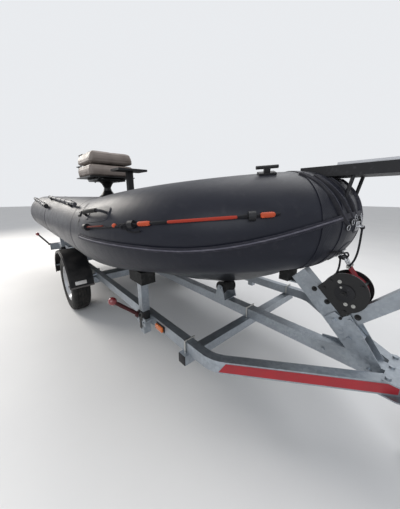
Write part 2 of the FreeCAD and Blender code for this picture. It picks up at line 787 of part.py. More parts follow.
def cross_members():
    reach = RAIL_HALF_SPAN + RAIL_WIDTH / 2 + 24
    members = []
    for cross_x in CROSS_XS:
        half = CROSS_WIDTH / 2
        bore = half - CROSS_WALL
        bottom = RAIL_BOTTOM_Z - CROSS_HEIGHT
        outside = box((cross_x - half, cross_x + half), (-reach, reach), (bottom, RAIL_BOTTOM_Z))
        inside = box((cross_x - bore, cross_x + bore), (-reach - 10, reach + 10),
                     (bottom + CROSS_WALL, RAIL_BOTTOM_Z - CROSS_WALL))
        holes = [leg for x, y, width in u_bolt_spots() if x == cross_x
                 for leg in u_bolt_legs(x, y, width, U_BOLT_RADIUS + 2 * SEAT_GAP)]
        members.append(outside.cut([inside] + holes))
    return Part.makeCompound(members)


def joint_plates():
    """Two plates that clamp the rails' front ends to the drawbar, with bolts through both."""
    x0, x1 = JOINT_PLATE_X
    wide, narrow = JOINT_PLATE_HALF_WIDTH, DRAWBAR_WIDTH / 2 + 22
    outline = [(x0, -wide), (x0 + 55, -wide), (x1, -narrow), (x1, narrow), (x0 + 55, wide), (x0, wide)]
    top = plan_prism(outline, (RAIL_TOP_Z, RAIL_TOP_Z + JOINT_PLATE_THICKNESS))
    bottom = plan_prism(outline, (RAIL_BOTTOM_Z - JOINT_PLATE_THICKNESS, RAIL_BOTTOM_Z))
    bolts = []
    for x, y in ((x0 + 16, 0), (x0 + 16, 84), (x0 + 16, -84), (x1 - 20, 44), (x1 - 20, -44)):
        head_z = RAIL_TOP_Z + JOINT_PLATE_THICKNESS
        bolts.append(rod(V(x, y, head_z), V(x, y, head_z + 8), BOLT_RADIUS * 1.7))
        low_z = RAIL_BOTTOM_Z - JOINT_PLATE_THICKNESS
        bolts.append(rod(V(x, y, low_z - 8), V(x, y, low_z), BOLT_RADIUS * 1.7))
    return [fused([top] + bolts[0::2]), fused([bottom] + bolts[1::2])]


# Wheels, axle and mudguards, on the port side

def wheel_outline(points):
    """Outline points of a wheel's section: distance outboard of its middle, radius."""
    return [V(0, WHEEL_HALF_TRACK + y, TYRE_RADIUS + radius) for y, radius in points]


def tyre():
    """A closed ring on the rim's bead seats."""
    half = TYRE_WIDTH / 2
    bead = half - BEAD_INSET
    side = [(bead, BEAD_RADIUS), (half, BEAD_RADIUS + 40), (half - 2, BEAD_RADIUS + 80),
            (half - 30, TYRE_RADIUS)]
    return turned(wheel_outline([(-y, r) for y, r in side] + side[::-1]), WHEEL_CENTRE)


def rim():
    """A pressed steel wheel: a drop-centre barrel and a dished disc with its hand holes."""
    wall = RIM_WALL
    bead = TYRE_WIDTH / 2 - BEAD_INSET
    seat = BEAD_RADIUS - SEAT_GAP
    flange = 10
    well = seat - 22
    side = [(30, well), (bead + 0.8, seat), (bead + 0.8 + flange * 0.55, seat + flange)]
    outer = [(-y, r) for y, r in reversed(side)] + side
    inner = [(y * 1.03, r - wall) for y, r in reversed(outer)]
    barrel = turned(wheel_outline(outer + inner), WHEEL_CENTRE)
    face = FLANGE_Y + FLANGE_THICKNESS - WHEEL_HALF_TRACK
    dish = face + 16
    plate = [(face, 29), (face + wall, 29), (face + wall, 79), (dish + wall, 101),
             (dish + wall, well - 20), (face + 2, well - wall + 0.1), (face - 6, well - wall + 0.1),
             (dish, well - 24), (dish, 103), (face, 82)]
    disc_part = turned(wheel_outline(plate), WHEEL_CENTRE)
    holes = []
    for index in range(4):
        cosine, sine = vec_on(90 * index + 45)
        spot = WHEEL_CENTRE + V(98 * 0.5 * cosine, 0, 98 * 0.5 * sine)
        holes.append(rod(spot, spot + V(0, 100, 0), 6.5))
    for index in range(8):
        cosine, sine = vec_on(45 * index)
        spot = WHEEL_CENTRE + V(112 * cosine, 0, 112 * sine)
        holes.append(rod(spot, spot + V(0, 100, 0), 8))
    return fused([barrel, disc_part.cut(holes)])


def hub():
    """The hub: barrel on the stub axle, flange, wheel bolts and grease cap."""
    flange_end = FLANGE_Y + FLANGE_THICKNESS - SEAT_GAP
    barrel = rod(V(0, ARM_Y[1] + RUNNING_GAP, TYRE_RADIUS), V(0, flange_end + 28, TYRE_RADIUS), 28)
    body = rod(V(0, ARM_Y[1] + RUNNING_GAP, TYRE_RADIUS), V(0, FLANGE_Y, TYRE_RADIUS), HUB_RADIUS)
    flange = rod(V(0, FLANGE_Y, TYRE_RADIUS), V(0, flange_end, TYRE_RADIUS), 68)
    bolts = []
    for index in range(4):
        cosine, sine = vec_on(90 * index + 45)
        spot = V(98 * 0.5 * cosine, 0, TYRE_RADIUS + 98 * 0.5 * sine)
        bolts.append(rod(spot + V(0, flange_end, 0), spot + V(0, flange_end + 6, 0), 6))
        bolts.append(rod(spot + V(0, flange_end + 4.6, 0), spot + V(0, flange_end + 18, 0), 10))
    bore = rod(V(0, ARM_Y[1], TYRE_RADIUS), V(0, flange_end + 15, TYRE_RADIUS),
               STUB_RADIUS + PIN_GAP)
    return fused([body, flange, barrel] + bolts).cut(bore)


def axle():
    """A square axle tube under the rails, with a trailing arm and stub axle at each end."""
    half = AXLE_TUBE_SIZE / 2
    tube = box((AXLE_TUBE_X - half, AXLE_TUBE_X + half), (-ARM_Y[0], ARM_Y[0]),
               (AXLE_TUBE_Z - half, AXLE_TUBE_Z + half))
    pad = box((AXLE_TUBE_X - half + 4, AXLE_TUBE_X + half - 4),
              (RAIL_HALF_SPAN - 30, ARM_Y[0]), (AXLE_TUBE_Z + half, RAIL_BOTTOM_Z))
    link = link_plate((AXLE_TUBE_X, AXLE_TUBE_Z), 34, (0, TYRE_RADIUS), 28, ARM_Y)
    stub = rod(V(0, ARM_Y[1], TYRE_RADIUS), V(0, FLANGE_Y + 18, TYRE_RADIUS), STUB_RADIUS)
    return fused([tube] + both(pad) + both(link) + both(stub))


def mudguard_stay_spots():
    """x, z of the stays that hold a mudguard, ahead of and behind the wheel."""
    reach = MUDGUARD_RADIUS - MUDGUARD_THICKNESS - MUDGUARD_STAY_RADIUS - 2 * SEAT_GAP
    rise = MUDGUARD_STAY_Z - TYRE_RADIUS
    run = math.sqrt(reach ** 2 - rise ** 2)
    return ((run, MUDGUARD_STAY_Z), (-run, MUDGUARD_STAY_Z))


def mudguard_stays(radius):
    inner = RAIL_HALF_SPAN + RAIL_WIDTH / 2
    return [rod(V(x, inner, z), V(x, MUDGUARD_Y[1] - 8, z), radius)
            for x, z in mudguard_stay_spots()]


def mudguard():
    inboard, outboard = MUDGUARD_Y
    outer, skin, lip = MUDGUARD_RADIUS, MUDGUARD_THICKNESS, MUDGUARD_LIP
    section = [(inboard, outer - lip), (inboard, outer - 6), (inboard + 6, outer),
               (outboard - 10, outer), (outboard, outer - 10), (outboard, outer - lip),
               (outboard - skin, outer - lip), (outboard - skin, outer - 10),
               (outboard - 11, outer - skin), (inboard + 7, outer - skin),
               (inboard + skin, outer - 7), (inboard + skin, outer - lip)]
    cosine, sine = vec_on(MUDGUARD_SWEEP[0])
    corners = [V(radius * cosine, y, TYRE_RADIUS + radius * sine) for y, radius in section]
    sweep = MUDGUARD_SWEEP[1] - MUDGUARD_SWEEP[0]
    centre = V(0, 0, TYRE_RADIUS)
    band = polygon_face(corners).revolve(centre, V(0, -1, 0), sweep)
    return band.cut(mudguard_stays(MUDGUARD_STAY_RADIUS + SEAT_GAP))


# What carries the boat

def roller_places():
    """x, z of each keel roller's axis, and the face or top that its bracket is fixed to."""
    rest = KEEL_Z - SEAT_GAP - ROLLER_WAIST_RADIUS
    rear_x = CROSS_XS[0] + ROLLER_OFFSET
    middle_x = CROSS_XS[1] + ROLLER_OFFSET
    reach = KEEL_RADIUS + SEAT_GAP + ROLLER_WAIST_RADIUS
    lean = math.asin((FRONT_ROLLER_X - KEEL_FLAT_X) / KEEL_RADIUS)
    front_x = KEEL_FLAT_X + reach * math.sin(lean)
    front_z = KEEL_Z + KEEL_RADIUS - reach * math.cos(lean)
    return (("rear", rear_x, rest), ("middle", middle_x, rest), ("front", front_x, front_z))


def keel_roller(x, z):
    half, waist, end = ROLLER_HALF_LENGTH, ROLLER_WAIST_RADIUS, ROLLER_END_RADIUS
    bore = ROLLER_PIN_RADIUS + PIN_GAP
    outline = [(-half, bore), (-half, end), (0, waist), (half, end), (half, bore)]
    return turned([V(x, y, z + radius) for y, radius in outline], V(x, 0, z))


def roller_bracket(name, x, z):
    inner = ROLLER_HALF_LENGTH + RUNNING_GAP
    outer = inner + ROLLER_PLATE
    pin = rod(V(x, -outer - 6, z), V(x, outer + 6, z), ROLLER_PIN_RADIUS)
    lug = 20
    if name == "front":
        low = RAIL_TOP_Z
        base = box((x - 45, x + 45), (-outer, outer), (low, low + ROLLER_PLATE))
        outline = [(x - 45, low), (x + 45, low), (x + lug, z + lug - 8), (x + lug - 8, z + lug),
                   (x - lug + 8, z + lug), (x - lug, z + lug - 8)]
    else:
        face = x - ROLLER_OFFSET + CROSS_WIDTH / 2
        high, low = RAIL_BOTTOM_Z, RAIL_BOTTOM_Z - CROSS_HEIGHT
        base = box((face, face + ROLLER_PLATE), (-outer, outer), (low, high))
        outline = [(face, low), (x, low + 18), (x + lug, z - 8), (x + lug, z + lug - 8),
                   (x + lug - 8, z + lug), (x - lug, z + lug), (face, high)]
    plates = [side_prism(outline, span) for span in ((-outer, -inner), (inner, outer))]
    return fused([base, pin] + plates)


def support_posts():
    """Square posts on the rails' outer faces, with a foot plate each, that steady the tubes."""
    inner = RAIL_HALF_SPAN + RAIL_WIDTH / 2
    outer = inner + SUPPORT_SIZE
    half = SUPPORT_SIZE / 2
    wall = 3
    posts = []
    for x in SUPPORT_XS:
        outside = box((x - half, x + half), (inner, outer), (SUPPORT_BOTTOM_Z, SUPPORT_TOP_Z))
        bore = box((x - half + wall, x + half - wall), (inner + wall, outer - wall),
                   (SUPPORT_BOTTOM_Z - 1, SUPPORT_TOP_Z - wall))
        clamp = box((x - half - 30, x + half + 30), (outer, outer + 6),
                    (RAIL_BOTTOM_Z + 4, RAIL_TOP_Z - 4))
        studs = [rod(V(x + way * (half + 17), inner, RAIL_TOP_Z - 30),
                     V(x + way * (half + 17), outer + 14, RAIL_TOP_Z - 30), U_BOLT_RADIUS)
                 for way in (-1, 1)]
        posts.append(fused([outside.cut(bore), clamp] + studs))
    return posts


def support_pads():
    """Rubber pads on the posts, hollowed to the tubes they steady."""
    middle = RAIL_HALF_SPAN + RAIL_WIDTH / 2 + SUPPORT_SIZE / 2
    pads = []
    for x in SUPPORT_XS:
        block = box((x - SUPPORT_PAD_HALF_LENGTH, x + SUPPORT_PAD_HALF_LENGTH),
                    (middle - SUPPORT_PAD_HALF_WIDTH, middle + SUPPORT_PAD_HALF_WIDTH),
                    (SUPPORT_TOP_Z, TUBE_CENTRE_Z - TUBE_RADIUS + 40))
        pads.append(clear_of_tubes(block))
    return pads


# Winch post and what it carries

def post_point(along, above, across=0):
    """A place by the post: along it from its foot, off its forward face's side, to port."""
    return POST_FOOT + POST_ALONG * along + POST_NORMAL * above + V(0, across, 0)


def post_prism(points, y_span):
    """A prism whose outline is given by the post: along it, above its middle line."""
    face = polygon_face([post_point(along, above, y_span[0]) for along, above in points])
    return face.extrude(V(0, y_span[1] - y_span[0], 0))


def winch_post():
    half = POST_DEPTH / 2
    length = (POST_HEAD - POST_FOOT).Length
    wide = POST_WIDTH / 2
    outside = post_prism([(0, -half), (length, -half), (length, half), (0, half)], (-wide, wide))
    wall = RAIL_WALL
    bore = post_prism([(wall, -half + wall), (length - wall, -half + wall),
                       (length - wall, half - wall), (wall, half - wall)],
                      (-wide + wall, wide - wall))
    shelf_top = STOP_BOTTOM_Z
    low_corner = post_point(length, -half)
    fall = POST_ALONG.z / POST_ALONG.x
    shelf_points = []
    for z in (shelf_top - 6, shelf_top):
        shelf_points.append((low_corner.x + (z - low_corner.z) / fall, z))
    rear = STOP_X[0] - 4
    shelf = side_prism([(rear, shelf_top - 6), shelf_points[0], shelf_points[1],
                        (rear, shelf_top)], (-wide, wide))
    return fused([outside.cut(bore), shelf])


def post_arm():
    """The arm that stands forward from the foot of the post, closed at its end."""
    half = POST_DEPTH / 2
    depth = ARM_DEPTH / 2
    wide = POST_WIDTH / 2
    outline = [(ARM_ROOT - depth, half), (ARM_ROOT - depth, half + ARM_LENGTH),
               (ARM_ROOT + depth, half + ARM_LENGTH), (ARM_ROOT + depth, half)]
    hollow = half + ARM_LENGTH - RAIL_WALL
    bore = [(ARM_ROOT - depth + RAIL_WALL, half), (ARM_ROOT - depth + RAIL_WALL, hollow),
            (ARM_ROOT + depth - RAIL_WALL, hollow), (ARM_ROOT + depth - RAIL_WALL, half)]
    return post_prism(outline, (-wide, wide)).cut(
        post_prism(bore, (-wide + RAIL_WALL, wide - RAIL_WALL)))


def post_gusset():
    """A side plate that bolts the post and its arm to the drawbar."""
    half = POST_DEPTH / 2
    drawbar_side = DRAWBAR_WIDTH / 2
    inner = POST_WIDTH / 2
    outline = [(2085, RAIL_BOTTOM_Z + 10), (2330, RAIL_BOTTOM_Z + 10), (2330, RAIL_TOP_Z + 6)]
    winch_foot = ARM_ROOT + ARM_DEPTH / 2
    top = [post_point(winch_foot - 6, half + 34), post_point(winch_foot - 3, half - 2),
           post_point(ARM_ROOT + 60, half - 14), post_point(ARM_ROOT + 60, -half + 6),
           post_point(0, -half)]
    outline += [(p.x, p.z) for p in top] + [(2085, RAIL_TOP_Z + 6)]
    plate = side_prism(outline, (drawbar_side, drawbar_side + GUSSET_THICKNESS))
    spots = [(2115, RAIL_BOTTOM_Z + 30), (2295, RAIL_BOTTOM_Z + 30)]
    for along, above in ((30, 0), (ARM_ROOT + 30, 0), (ARM_ROOT, half + 16)):
        spot = post_point(along, above)
        spots.append((spot.x, spot.z))
    bolts = [rod(V(x, drawbar_side + GUSSET_THICKNESS, z),
                 V(x, drawbar_side + GUSSET_THICKNESS + 8, z), BOLT_RADIUS * 1.6)
             for x, z in spots]
    packer = post_prism([(6, -half + 6), (ARM_ROOT + 40, -half + 6), (ARM_ROOT + 40, half - 6),
                         (6, half - 6)], (inner, drawbar_side))
    return fused([plate, packer] + bolts)


def bow_stop(hull_solid):
    """The rubber block under the stem, cut to the keel it holds."""
    block = box(STOP_X, (-STOP_HALF_WIDTH, STOP_HALF_WIDTH), (STOP_BOTTOM_Z, STOP_BOTTOM_Z + 70))
    hull_room = hull_solid.copy()
    hull_room.translate(V(0, 0, -SEAT_GAP))
    above = hull_room.copy()
    above.translate(V(0, 0, 40))
    return block.cut([hull_room, above])


def winch_centre():
    return post_point(WINCH_ALONG_POST, POST_DEPTH / 2 + WINCH_CENTRE_HEIGHT)


def winch_frame():
    """Two side plates on a base, with the spacer bolts between them."""
    foot = POST_DEPTH / 2
    middle = WINCH_ALONG_POST
    height = foot + WINCH_CENTRE_HEIGHT
    plates = []
    low = ARM_ROOT + ARM_DEPTH / 2 + SEAT_GAP
    for _, side in SIDES:
        span = sorted((side * WINCH_HALF_GAP, side * (WINCH_HALF_GAP + WINCH_PLATE)))
        flat = post_prism([(low, foot), (middle + 80, foot), (middle + 84, height - 18),
                           (middle - 84, height)], span)
        dome = rod(post_point(middle, height, span[0]), post_point(middle, height, span[1]),
                   WINCH_PLATE_RADIUS)
        trim = post_prism([(middle - 200, foot - 80), (middle + 200, foot - 80),
                           (middle + 200, foot), (middle - 200, foot)], (-100, 100))
        plates.append(fused([flat, dome]).cut(trim))
    base = post_prism([(low, foot), (middle + 80, foot), (middle + 80, foot + 6),
                       (low, foot + 6)],
                      (-WINCH_HALF_GAP - WINCH_PLATE, WINCH_HALF_GAP + WINCH_PLATE))
    reach = WINCH_HALF_GAP + WINCH_PLATE + 5
    shafts = [rod(post_point(along, above, -reach), post_point(along, above, reach), 6.5)
              for along, above in ((middle - 64, foot + 24), (middle + 62, foot + 22),
                                   (middle - 12, height + 72), (middle + 72, height - 12))]
    axle = rod(post_point(middle, height, -reach), post_point(middle, height, reach), 10)
    return fused([base] + plates + shafts + [axle] + winch_crank())


def winch_crank():
    """The crank on the winch's port side, hanging down: shaft stub, arm and knob."""
    start = winch_centre() + V(0, WINCH_HALF_GAP + WINCH_PLATE + 5, 0)
    reach = start + V(0, 14, 0)
    tip = reach - Z_AXIS * CRANK_LENGTH
    return [rod(start, start + V(0, 20, 0), 10), many_sided(reach, tip, 8),
            rod(tip + V(0, -4, 0), tip + V(0, 95, 0), 14)]


def eye_apex():
    """The middle of the bow eye's outer bar."""
    place, _, _ = on_nose(EYE_TILT, RING_HEIGHT)
    return place


def strap_anchor():
    """Where the strap ends, at its hook's pin, in line from the bow eye to the winch."""
    start = eye_apex()
    way = winch_centre() + X_AXIS * STRAP_ROLL_RADIUS - start
    return start + way.normalize() * HOOK_LENGTH


def winch_strap():
    """Webbing wound on the spool, and the taut run from the roll up to the hook."""
    centre = winch_centre()
    end = strap_anchor()
    wide = STRAP_HALF_WIDTH
    to_end = end - centre
    distance = to_end.Length
    lean = math.asin(STRAP_ROLL_RADIUS / distance)
    to_end.normalize()
    run = math.sqrt(distance ** 2 - STRAP_ROLL_RADIUS ** 2) - HOOK_PIN_RADIUS - SEAT_GAP
    cosine, sine = math.cos(lean), math.sin(lean)
    way = V(to_end.x * cosine - to_end.z * sine, 0, to_end.x * sine + to_end.z * cosine)
    normal = V(way.z, 0, -way.x)
    start = centre + normal * STRAP_ROLL_RADIUS
    corners = [start, start - normal * STRAP_THICKNESS, start - normal * STRAP_THICKNESS + way * run,
               start + way * run]
    strap = polygon_face([c + V(0, -wide, 0) for c in corners]).extrude(V(0, 2 * wide, 0))
    roll = rod(centre + V(0, -wide, 0), centre + V(0, wide, 0), STRAP_ROLL_RADIUS)
    axle = rod(centre + V(0, -wide - 5, 0), centre + V(0, wide + 5, 0), 10 + SEAT_GAP)
    return fused([roll, strap]).cut(axle)


def nose_ring(tilt, patch_radius):
    """A metal ring on a plate on a round patch, on the middle line of the nose."""
    surface, along, outward = on_nose(tilt)
    room = nose_tube(TUBE_RADIUS + SEAT_GAP)
    reach = many_sided(surface - outward * 60, surface + outward * 40, patch_radius, 16)
    patch = nose_tube(TUBE_RADIUS + SEAT_GAP + 3).common(reach)
    wide, low, high = RING_HALF_WIDTH, RING_HEIGHT * 0.6, RING_HEIGHT
    loop = [V(0, -wide, 0), V(0, -wide, low), V(0, -wide / 2, high), V(0, wide / 2, high),
            V(0, wide, low), V(0, wide, 0)]
    ring = placed(mitred_rod(loop, RING_WIRE), surface, along, outward)
    plate = placed(box((-20, 20), (-wide - 6, wide + 6), (-3, 8)), surface, along, outward)
    return fused([patch, ring, plate]).cut(room)


def bow_eye():
    """The ring under the nose with the strap's hook in it, and the painter's ring above it."""
    eye = eye_apex()
    anchor = strap_anchor()
    half = RING_HALF_WIDTH / 2
    hook = [many_sided(anchor + V(0, -STRAP_HALF_WIDTH - 5, 0), anchor + V(0, STRAP_HALF_WIDTH + 5, 0),
                       HOOK_PIN_RADIUS)]
    for way in (-1, 1):
        across = V(0, way * half, 0)
        hook.append(many_sided(eye + across, anchor + across, RING_WIRE))
    return Part.makeCompound([fused([nose_ring(EYE_TILT, 62)] + hook), nose_ring(RING_TILT, 34)])


# Coupling and jockey wheel

def coupling():
    """A pressed ball coupling on the end of the drawbar, with its lever."""
    half = DRAWBAR_WIDTH / 2
    wall = 5
    x0, x1 = COUPLING_X
    sleeve = box((x0, DRAWBAR_FRONT_X + 30), (-half - wall, half + wall),
                 (RAIL_BOTTOM_Z, RAIL_TOP_Z + wall))
    bore = box((x0 - 1, DRAWBAR_FRONT_X), (-half, half), (RAIL_BOTTOM_Z - 1, RAIL_TOP_Z))
    head_radius = x1 - BALL_X
    neck = plan_prism([(DRAWBAR_FRONT_X + 20, -half - wall), (BALL_X, -head_radius),
                       (BALL_X, head_radius), (DRAWBAR_FRONT_X + 20, half + wall)],
                      (RAIL_BOTTOM_Z, RAIL_TOP_Z + wall))
    head = rod(V(BALL_X, 0, RAIL_BOTTOM_Z), V(BALL_X, 0, RAIL_TOP_Z + wall + 4), head_radius)
    ball = Part.makeSphere(BALL_RADIUS, V(BALL_X, 0, BALL_Z))
    mouth = rod(V(BALL_X, 0, RAIL_BOTTOM_Z - 1), V(BALL_X, 0, BALL_Z), BALL_RADIUS)
    top = RAIL_TOP_Z + wall
    handle = side_prism([(BALL_X - 95, top), (BALL_X - 40, top), (BALL_X - 34, top + 30),
                         (BALL_X - 70, top + 52), (BALL_X - 190, top + 62),
                         (BALL_X - 196, top + 50), (BALL_X - 100, top + 30)], (-16, 16))
    return fused([sleeve, neck, head, handle]).cut([bore, ball, mouth])


def jockey_clamp():
    """The outer tube, its clamp on the drawbar, and the crank on top."""
    low, high = JOCKEY_OUTER_Z
    spot = V(JOCKEY_X, JOCKEY_Y, 0)
    tube = rod(spot + V(0, 0, low), spot + V(0, 0, high), JOCKEY_OUTER_RADIUS)
    bore = rod(spot + V(0, 0, low - 1), spot + V(0, 0, high - 8), JOCKEY_INNER_RADIUS + PIN_GAP)
    clamp = box((JOCKEY_X - 36, JOCKEY_X + 36), (DRAWBAR_WIDTH / 2, JOCKEY_Y),
                (RAIL_BOTTOM_Z, RAIL_TOP_Z))
    collar = rod(spot + V(0, 0, RAIL_BOTTOM_Z), spot + V(0, 0, RAIL_TOP_Z), JOCKEY_OUTER_RADIUS + 9)
    cap = rod(spot + V(0, 0, high), spot + V(0, 0, high + 18), JOCKEY_OUTER_RADIUS + 4)
    crank = mitred_rod([spot + V(0, 0, high + 10), spot + V(0, 0, high + 45),
                        spot + V(-110, 0, high + 45), spot + V(-110, 0, high + 110)], 6)
    return fused([tube, clamp, collar, cap, crank]).cut(bore)


def jockey_tube():
    """The inner tube, with the pin at its foot that the fork swivels on."""
    low, high = JOCKEY_INNER_Z
    crown = FORK_CROWN_Z[0]
    spot = V(JOCKEY_X, JOCKEY_Y, 0)
    tube = rod(spot + V(0, 0, low), spot + V(0, 0, high), JOCKEY_INNER_RADIUS)
    pin = rod(spot + V(0, 0, crown - 6), spot + V(0, 0, low), CASTOR_PIN_RADIUS)
    head = rod(spot + V(0, 0, crown - 6), spot + V(0, 0, crown - PIN_GAP), CASTOR_PIN_RADIUS + 5)
    return fused([tube, pin, head])


def jockey_fork():
    """Fork that turns on the tube's pin and trails the wheel behind it."""
    low, high = FORK_CROWN_Z
    axle_x = JOCKEY_X - JOCKEY_TRAIL
    spot = V(JOCKEY_X, JOCKEY_Y, 0)
    inner = JOCKEY_WHEEL_WIDTH / 2 + RUNNING_GAP
    outer = inner + FORK_PLATE
    crown = box((axle_x - 22, JOCKEY_X + 24), (JOCKEY_Y - outer, JOCKEY_Y + outer), (low, high - 8))
    washer = rod(spot + V(0, 0, high - 8), spot + V(0, 0, high), 20)
    pieces = [crown, washer]
    for way in (-1, 1):
        span = sorted((JOCKEY_Y + way * inner, JOCKEY_Y + way * outer))
        pieces.append(side_prism([(axle_x - 20, JOCKEY_WHEEL_RADIUS - 16),
                                  (axle_x + 20, JOCKEY_WHEEL_RADIUS - 16),
                                  (JOCKEY_X + 24, low), (JOCKEY_X + 24, high - 8),
                                  (axle_x - 22, high - 8)], span))
    pieces.append(rod(V(axle_x, JOCKEY_Y - outer - 5, JOCKEY_WHEEL_RADIUS),
                      V(axle_x, JOCKEY_Y + outer + 5, JOCKEY_WHEEL_RADIUS), 8))
    bore = rod(spot + V(0, 0, low - 1), spot + V(0, 0, high + 1), CASTOR_PIN_RADIUS + PIN_GAP)
    return fused(pieces).cut(bore)


def jockey_wheel():
    half = JOCKEY_WHEEL_WIDTH / 2
    radius = JOCKEY_WHEEL_RADIUS
    bore = 8 + PIN_GAP
    outline = [(-half, bore), (-half, 24), (-half + 12, 30), (-half + 12, 62),
               (-half, radius - 12), (-half + 12, radius)]
    outline += [(-y, r) for y, r in reversed(outline)]
    centre = V(JOCKEY_X - JOCKEY_TRAIL, JOCKEY_Y, radius)
    return turned([centre + V(0, y, r) for y, r in outline], centre)


# Lights

def light_board():
    """A channel across the rear ends of the rails, its lips turned forward."""
    back = RAIL_REAR_X - BOARD_THICKNESS
    outside = box((back, RAIL_REAR_X), (-BOARD_HALF_LENGTH, BOARD_HALF_LENGTH),
                  (RAIL_TOP_Z - BOARD_HEIGHT, RAIL_TOP_Z))
    hollow = box((back + 3, RAIL_REAR_X + 1), (-BOARD_HALF_LENGTH + 3, BOARD_HALF_LENGTH - 3),
                 (RAIL_TOP_Z - BOARD_HEIGHT + 3, RAIL_TOP_Z - 3))
    feet = [box((back + 3, RAIL_REAR_X), (side * RAIL_HALF_SPAN - 20, side * RAIL_HALF_SPAN + 20),
                (RAIL_TOP_Z - BOARD_HEIGHT + 3, RAIL_TOP_Z - 3)) for _, side in SIDES]
    return fused([outside.cut(hollow)] + feet)


def rear_lamp():
    back = RAIL_REAR_X - BOARD_THICKNESS
    y1 = BOARD_HALF_LENGTH - LAMP_INSET
    lamp = box((back - LAMP_DEPTH, back), (y1 - LAMP_LENGTH, y1),
               (RAIL_TOP_Z - BOARD_HEIGHT / 2 - LAMP_HEIGHT / 2,
                RAIL_TOP_Z - BOARD_HEIGHT / 2 + LAMP_HEIGHT / 2))
    edges = [edge for edge in lamp.Edges
             if abs(edge.CenterOfMass.x - (back - LAMP_DEPTH)) < 1]
    return lamp.makeFillet(9, edges)


def lamp_arm(foot, tip):
    """A rubber arm with a pad at its foot."""
    way = (tip - foot).normalize()
    return fused([rod(foot, tip - way * (LENS_RADIUS - 4), ARM_RADIUS),
                  rod(foot, foot + way * 14, ARM_RADIUS * 1.7)])


def lamp_head(foot, tip):
    """A round marker lamp on the tip of its arm."""
    way = (tip - foot).normalize()
    ball = Part.makeSphere(LENS_RADIUS, tip)
    socket = rod(foot, tip - way * (LENS_RADIUS - 4), ARM_RADIUS + SEAT_GAP)
    return ball.cut(socket)


def arm_feet():
    """Foot and tip of the rear and the front marker arms on the port side."""
    rear_foot = V(RAIL_REAR_X - BOARD_THICKNESS / 2, BOARD_HALF_LENGTH, RAIL_TOP_Z - 14)
    return ((rear_foot, REAR_ARM_TIP), (FRONT_ARM_FOOT, FRONT_ARM_TIP))


def cleared_arm(foot, tip):
    """The arm, trimmed by the faces that it is fixed to."""
    board = box((RAIL_REAR_X - BOARD_THICKNESS, RAIL_REAR_X), (0, BOARD_HALF_LENGTH),
                (RAIL_TOP_Z - BOARD_HEIGHT, RAIL_TOP_Z))
    trimmed = lamp_arm(foot, tip).cut([board] + support_posts())
    return max(trimmed.Solids, key=lambda solid: solid.Volume)


def side_marker():
    """An amber marker on the rail's outer face."""
    outer = RAIL_HALF_SPAN + RAIL_WIDTH / 2
    lamp = box((1400, 1480), (outer, outer + 20), (RAIL_TOP_Z - 50, RAIL_TOP_Z - 12))
    edges = [edge for edge in lamp.Edges if abs(edge.CenterOfMass.y - outer - 20) < 1]
    return lamp.makeFillet(5, edges)


# Seat and fittings

def thwart():
    board = box((SEAT_X - THWART_HALF_LENGTH, SEAT_X + THWART_HALF_LENGTH),
                (-TUBE_HALF_SPAN + 60, TUBE_HALF_SPAN - 60), THWART_Z)
    return clear_of_tubes(board)


def seat_pedestal():
    """A flared foot with a narrow neck, turned on the seat's own axis."""
    low = THWART_Z[1]
    profile = [(0, low), (105, low), (105, low + 6), (62, low + 40), (36, low + 80), (30, low + 105),
               (48, PEDESTAL_TOP_Z), (0, PEDESTAL_TOP_Z)]
    points = [V(SEAT_X + radius, SEAT_Y, z) for radius, z in profile]
    return turned(points, V(SEAT_X, SEAT_Y, 0), Z_AXIS)


def rounded_pad(x_span, y_span, z_span, corner, edge):
    block = box(x_span, y_span, z_span)
    upright = [e for e in block.Edges if abs(e.BoundBox.ZLength - (z_span[1] - z_span[0])) < 0.1]
    block = block.makeFillet(corner, upright)
    flat = [e for e in block.Edges if e.BoundBox.ZLength < 0.1]
    return block.makeFillet(edge, flat)


def seat_spans():
    x_span = (SEAT_X - SEAT_LENGTH / 2, SEAT_X + SEAT_LENGTH / 2)
    y_span = (SEAT_Y - SEAT_WIDTH / 2, SEAT_Y + SEAT_WIDTH / 2)
    return x_span, y_span


def seat_cushion():
    x_span, y_span = seat_spans()
    z_span = (SEAT_BASE_Z, SEAT_BASE_Z + CUSHION_THICKNESS)
    return rounded_pad(x_span, y_span, z_span, 55, 22)


def hinge_place():
    """x, z of the backrest's hinge, behind the seat at the height where the pads meet."""
    x_span, _ = seat_spans()
    return x_span[0] - 22, SEAT_BASE_Z + CUSHION_THICKNESS + SEAT_FOLD_GAP / 2


def seat_base():
    """The part that turns on the pedestal, the pan under the cushion and the hinge's ears."""
    low = PEDESTAL_TOP_Z + SEAT_GAP
    pan_low = SEAT_BASE_Z - SEAT_PAN
    profile = [(0, low), (50, low), (78, low + 26), (90, low + 34), (90, pan_low + 1), (0, pan_low + 1)]
    centre = V(SEAT_X, SEAT_Y, 0)
    cone = turned([V(SEAT_X + radius, SEAT_Y, z) for radius, z in profile], centre, Z_AXIS)
    x_span, y_span = seat_spans()
    hinge_x, hinge_z = hinge_place()
    inset = 30
    pan = box((hinge_x - 9, x_span[1] - inset), (y_span[0] + inset, y_span[1] - inset),
              (pan_low, SEAT_BASE_Z - SEAT_GAP))
    pin = rod(V(hinge_x, y_span[0] + 40, hinge_z), V(hinge_x, y_span[1] - 40, hinge_z), SEAT_PIN_RADIUS)
    ears = [box((hinge_x - 9, x_span[0] - 2), (y - 3, y + 3), (pan_low, hinge_z + 9))
            for y in (y_span[0] + 60, y_span[1] - 60)]
    return fused([cone, pan, pin] + ears)


def seat_back():
    x_span, y_span = seat_spans()
    low = SEAT_BASE_Z + CUSHION_THICKNESS + SEAT_FOLD_GAP
    return rounded_pad(x_span, y_span, (low, low + BACK_THICKNESS), 55, 22)


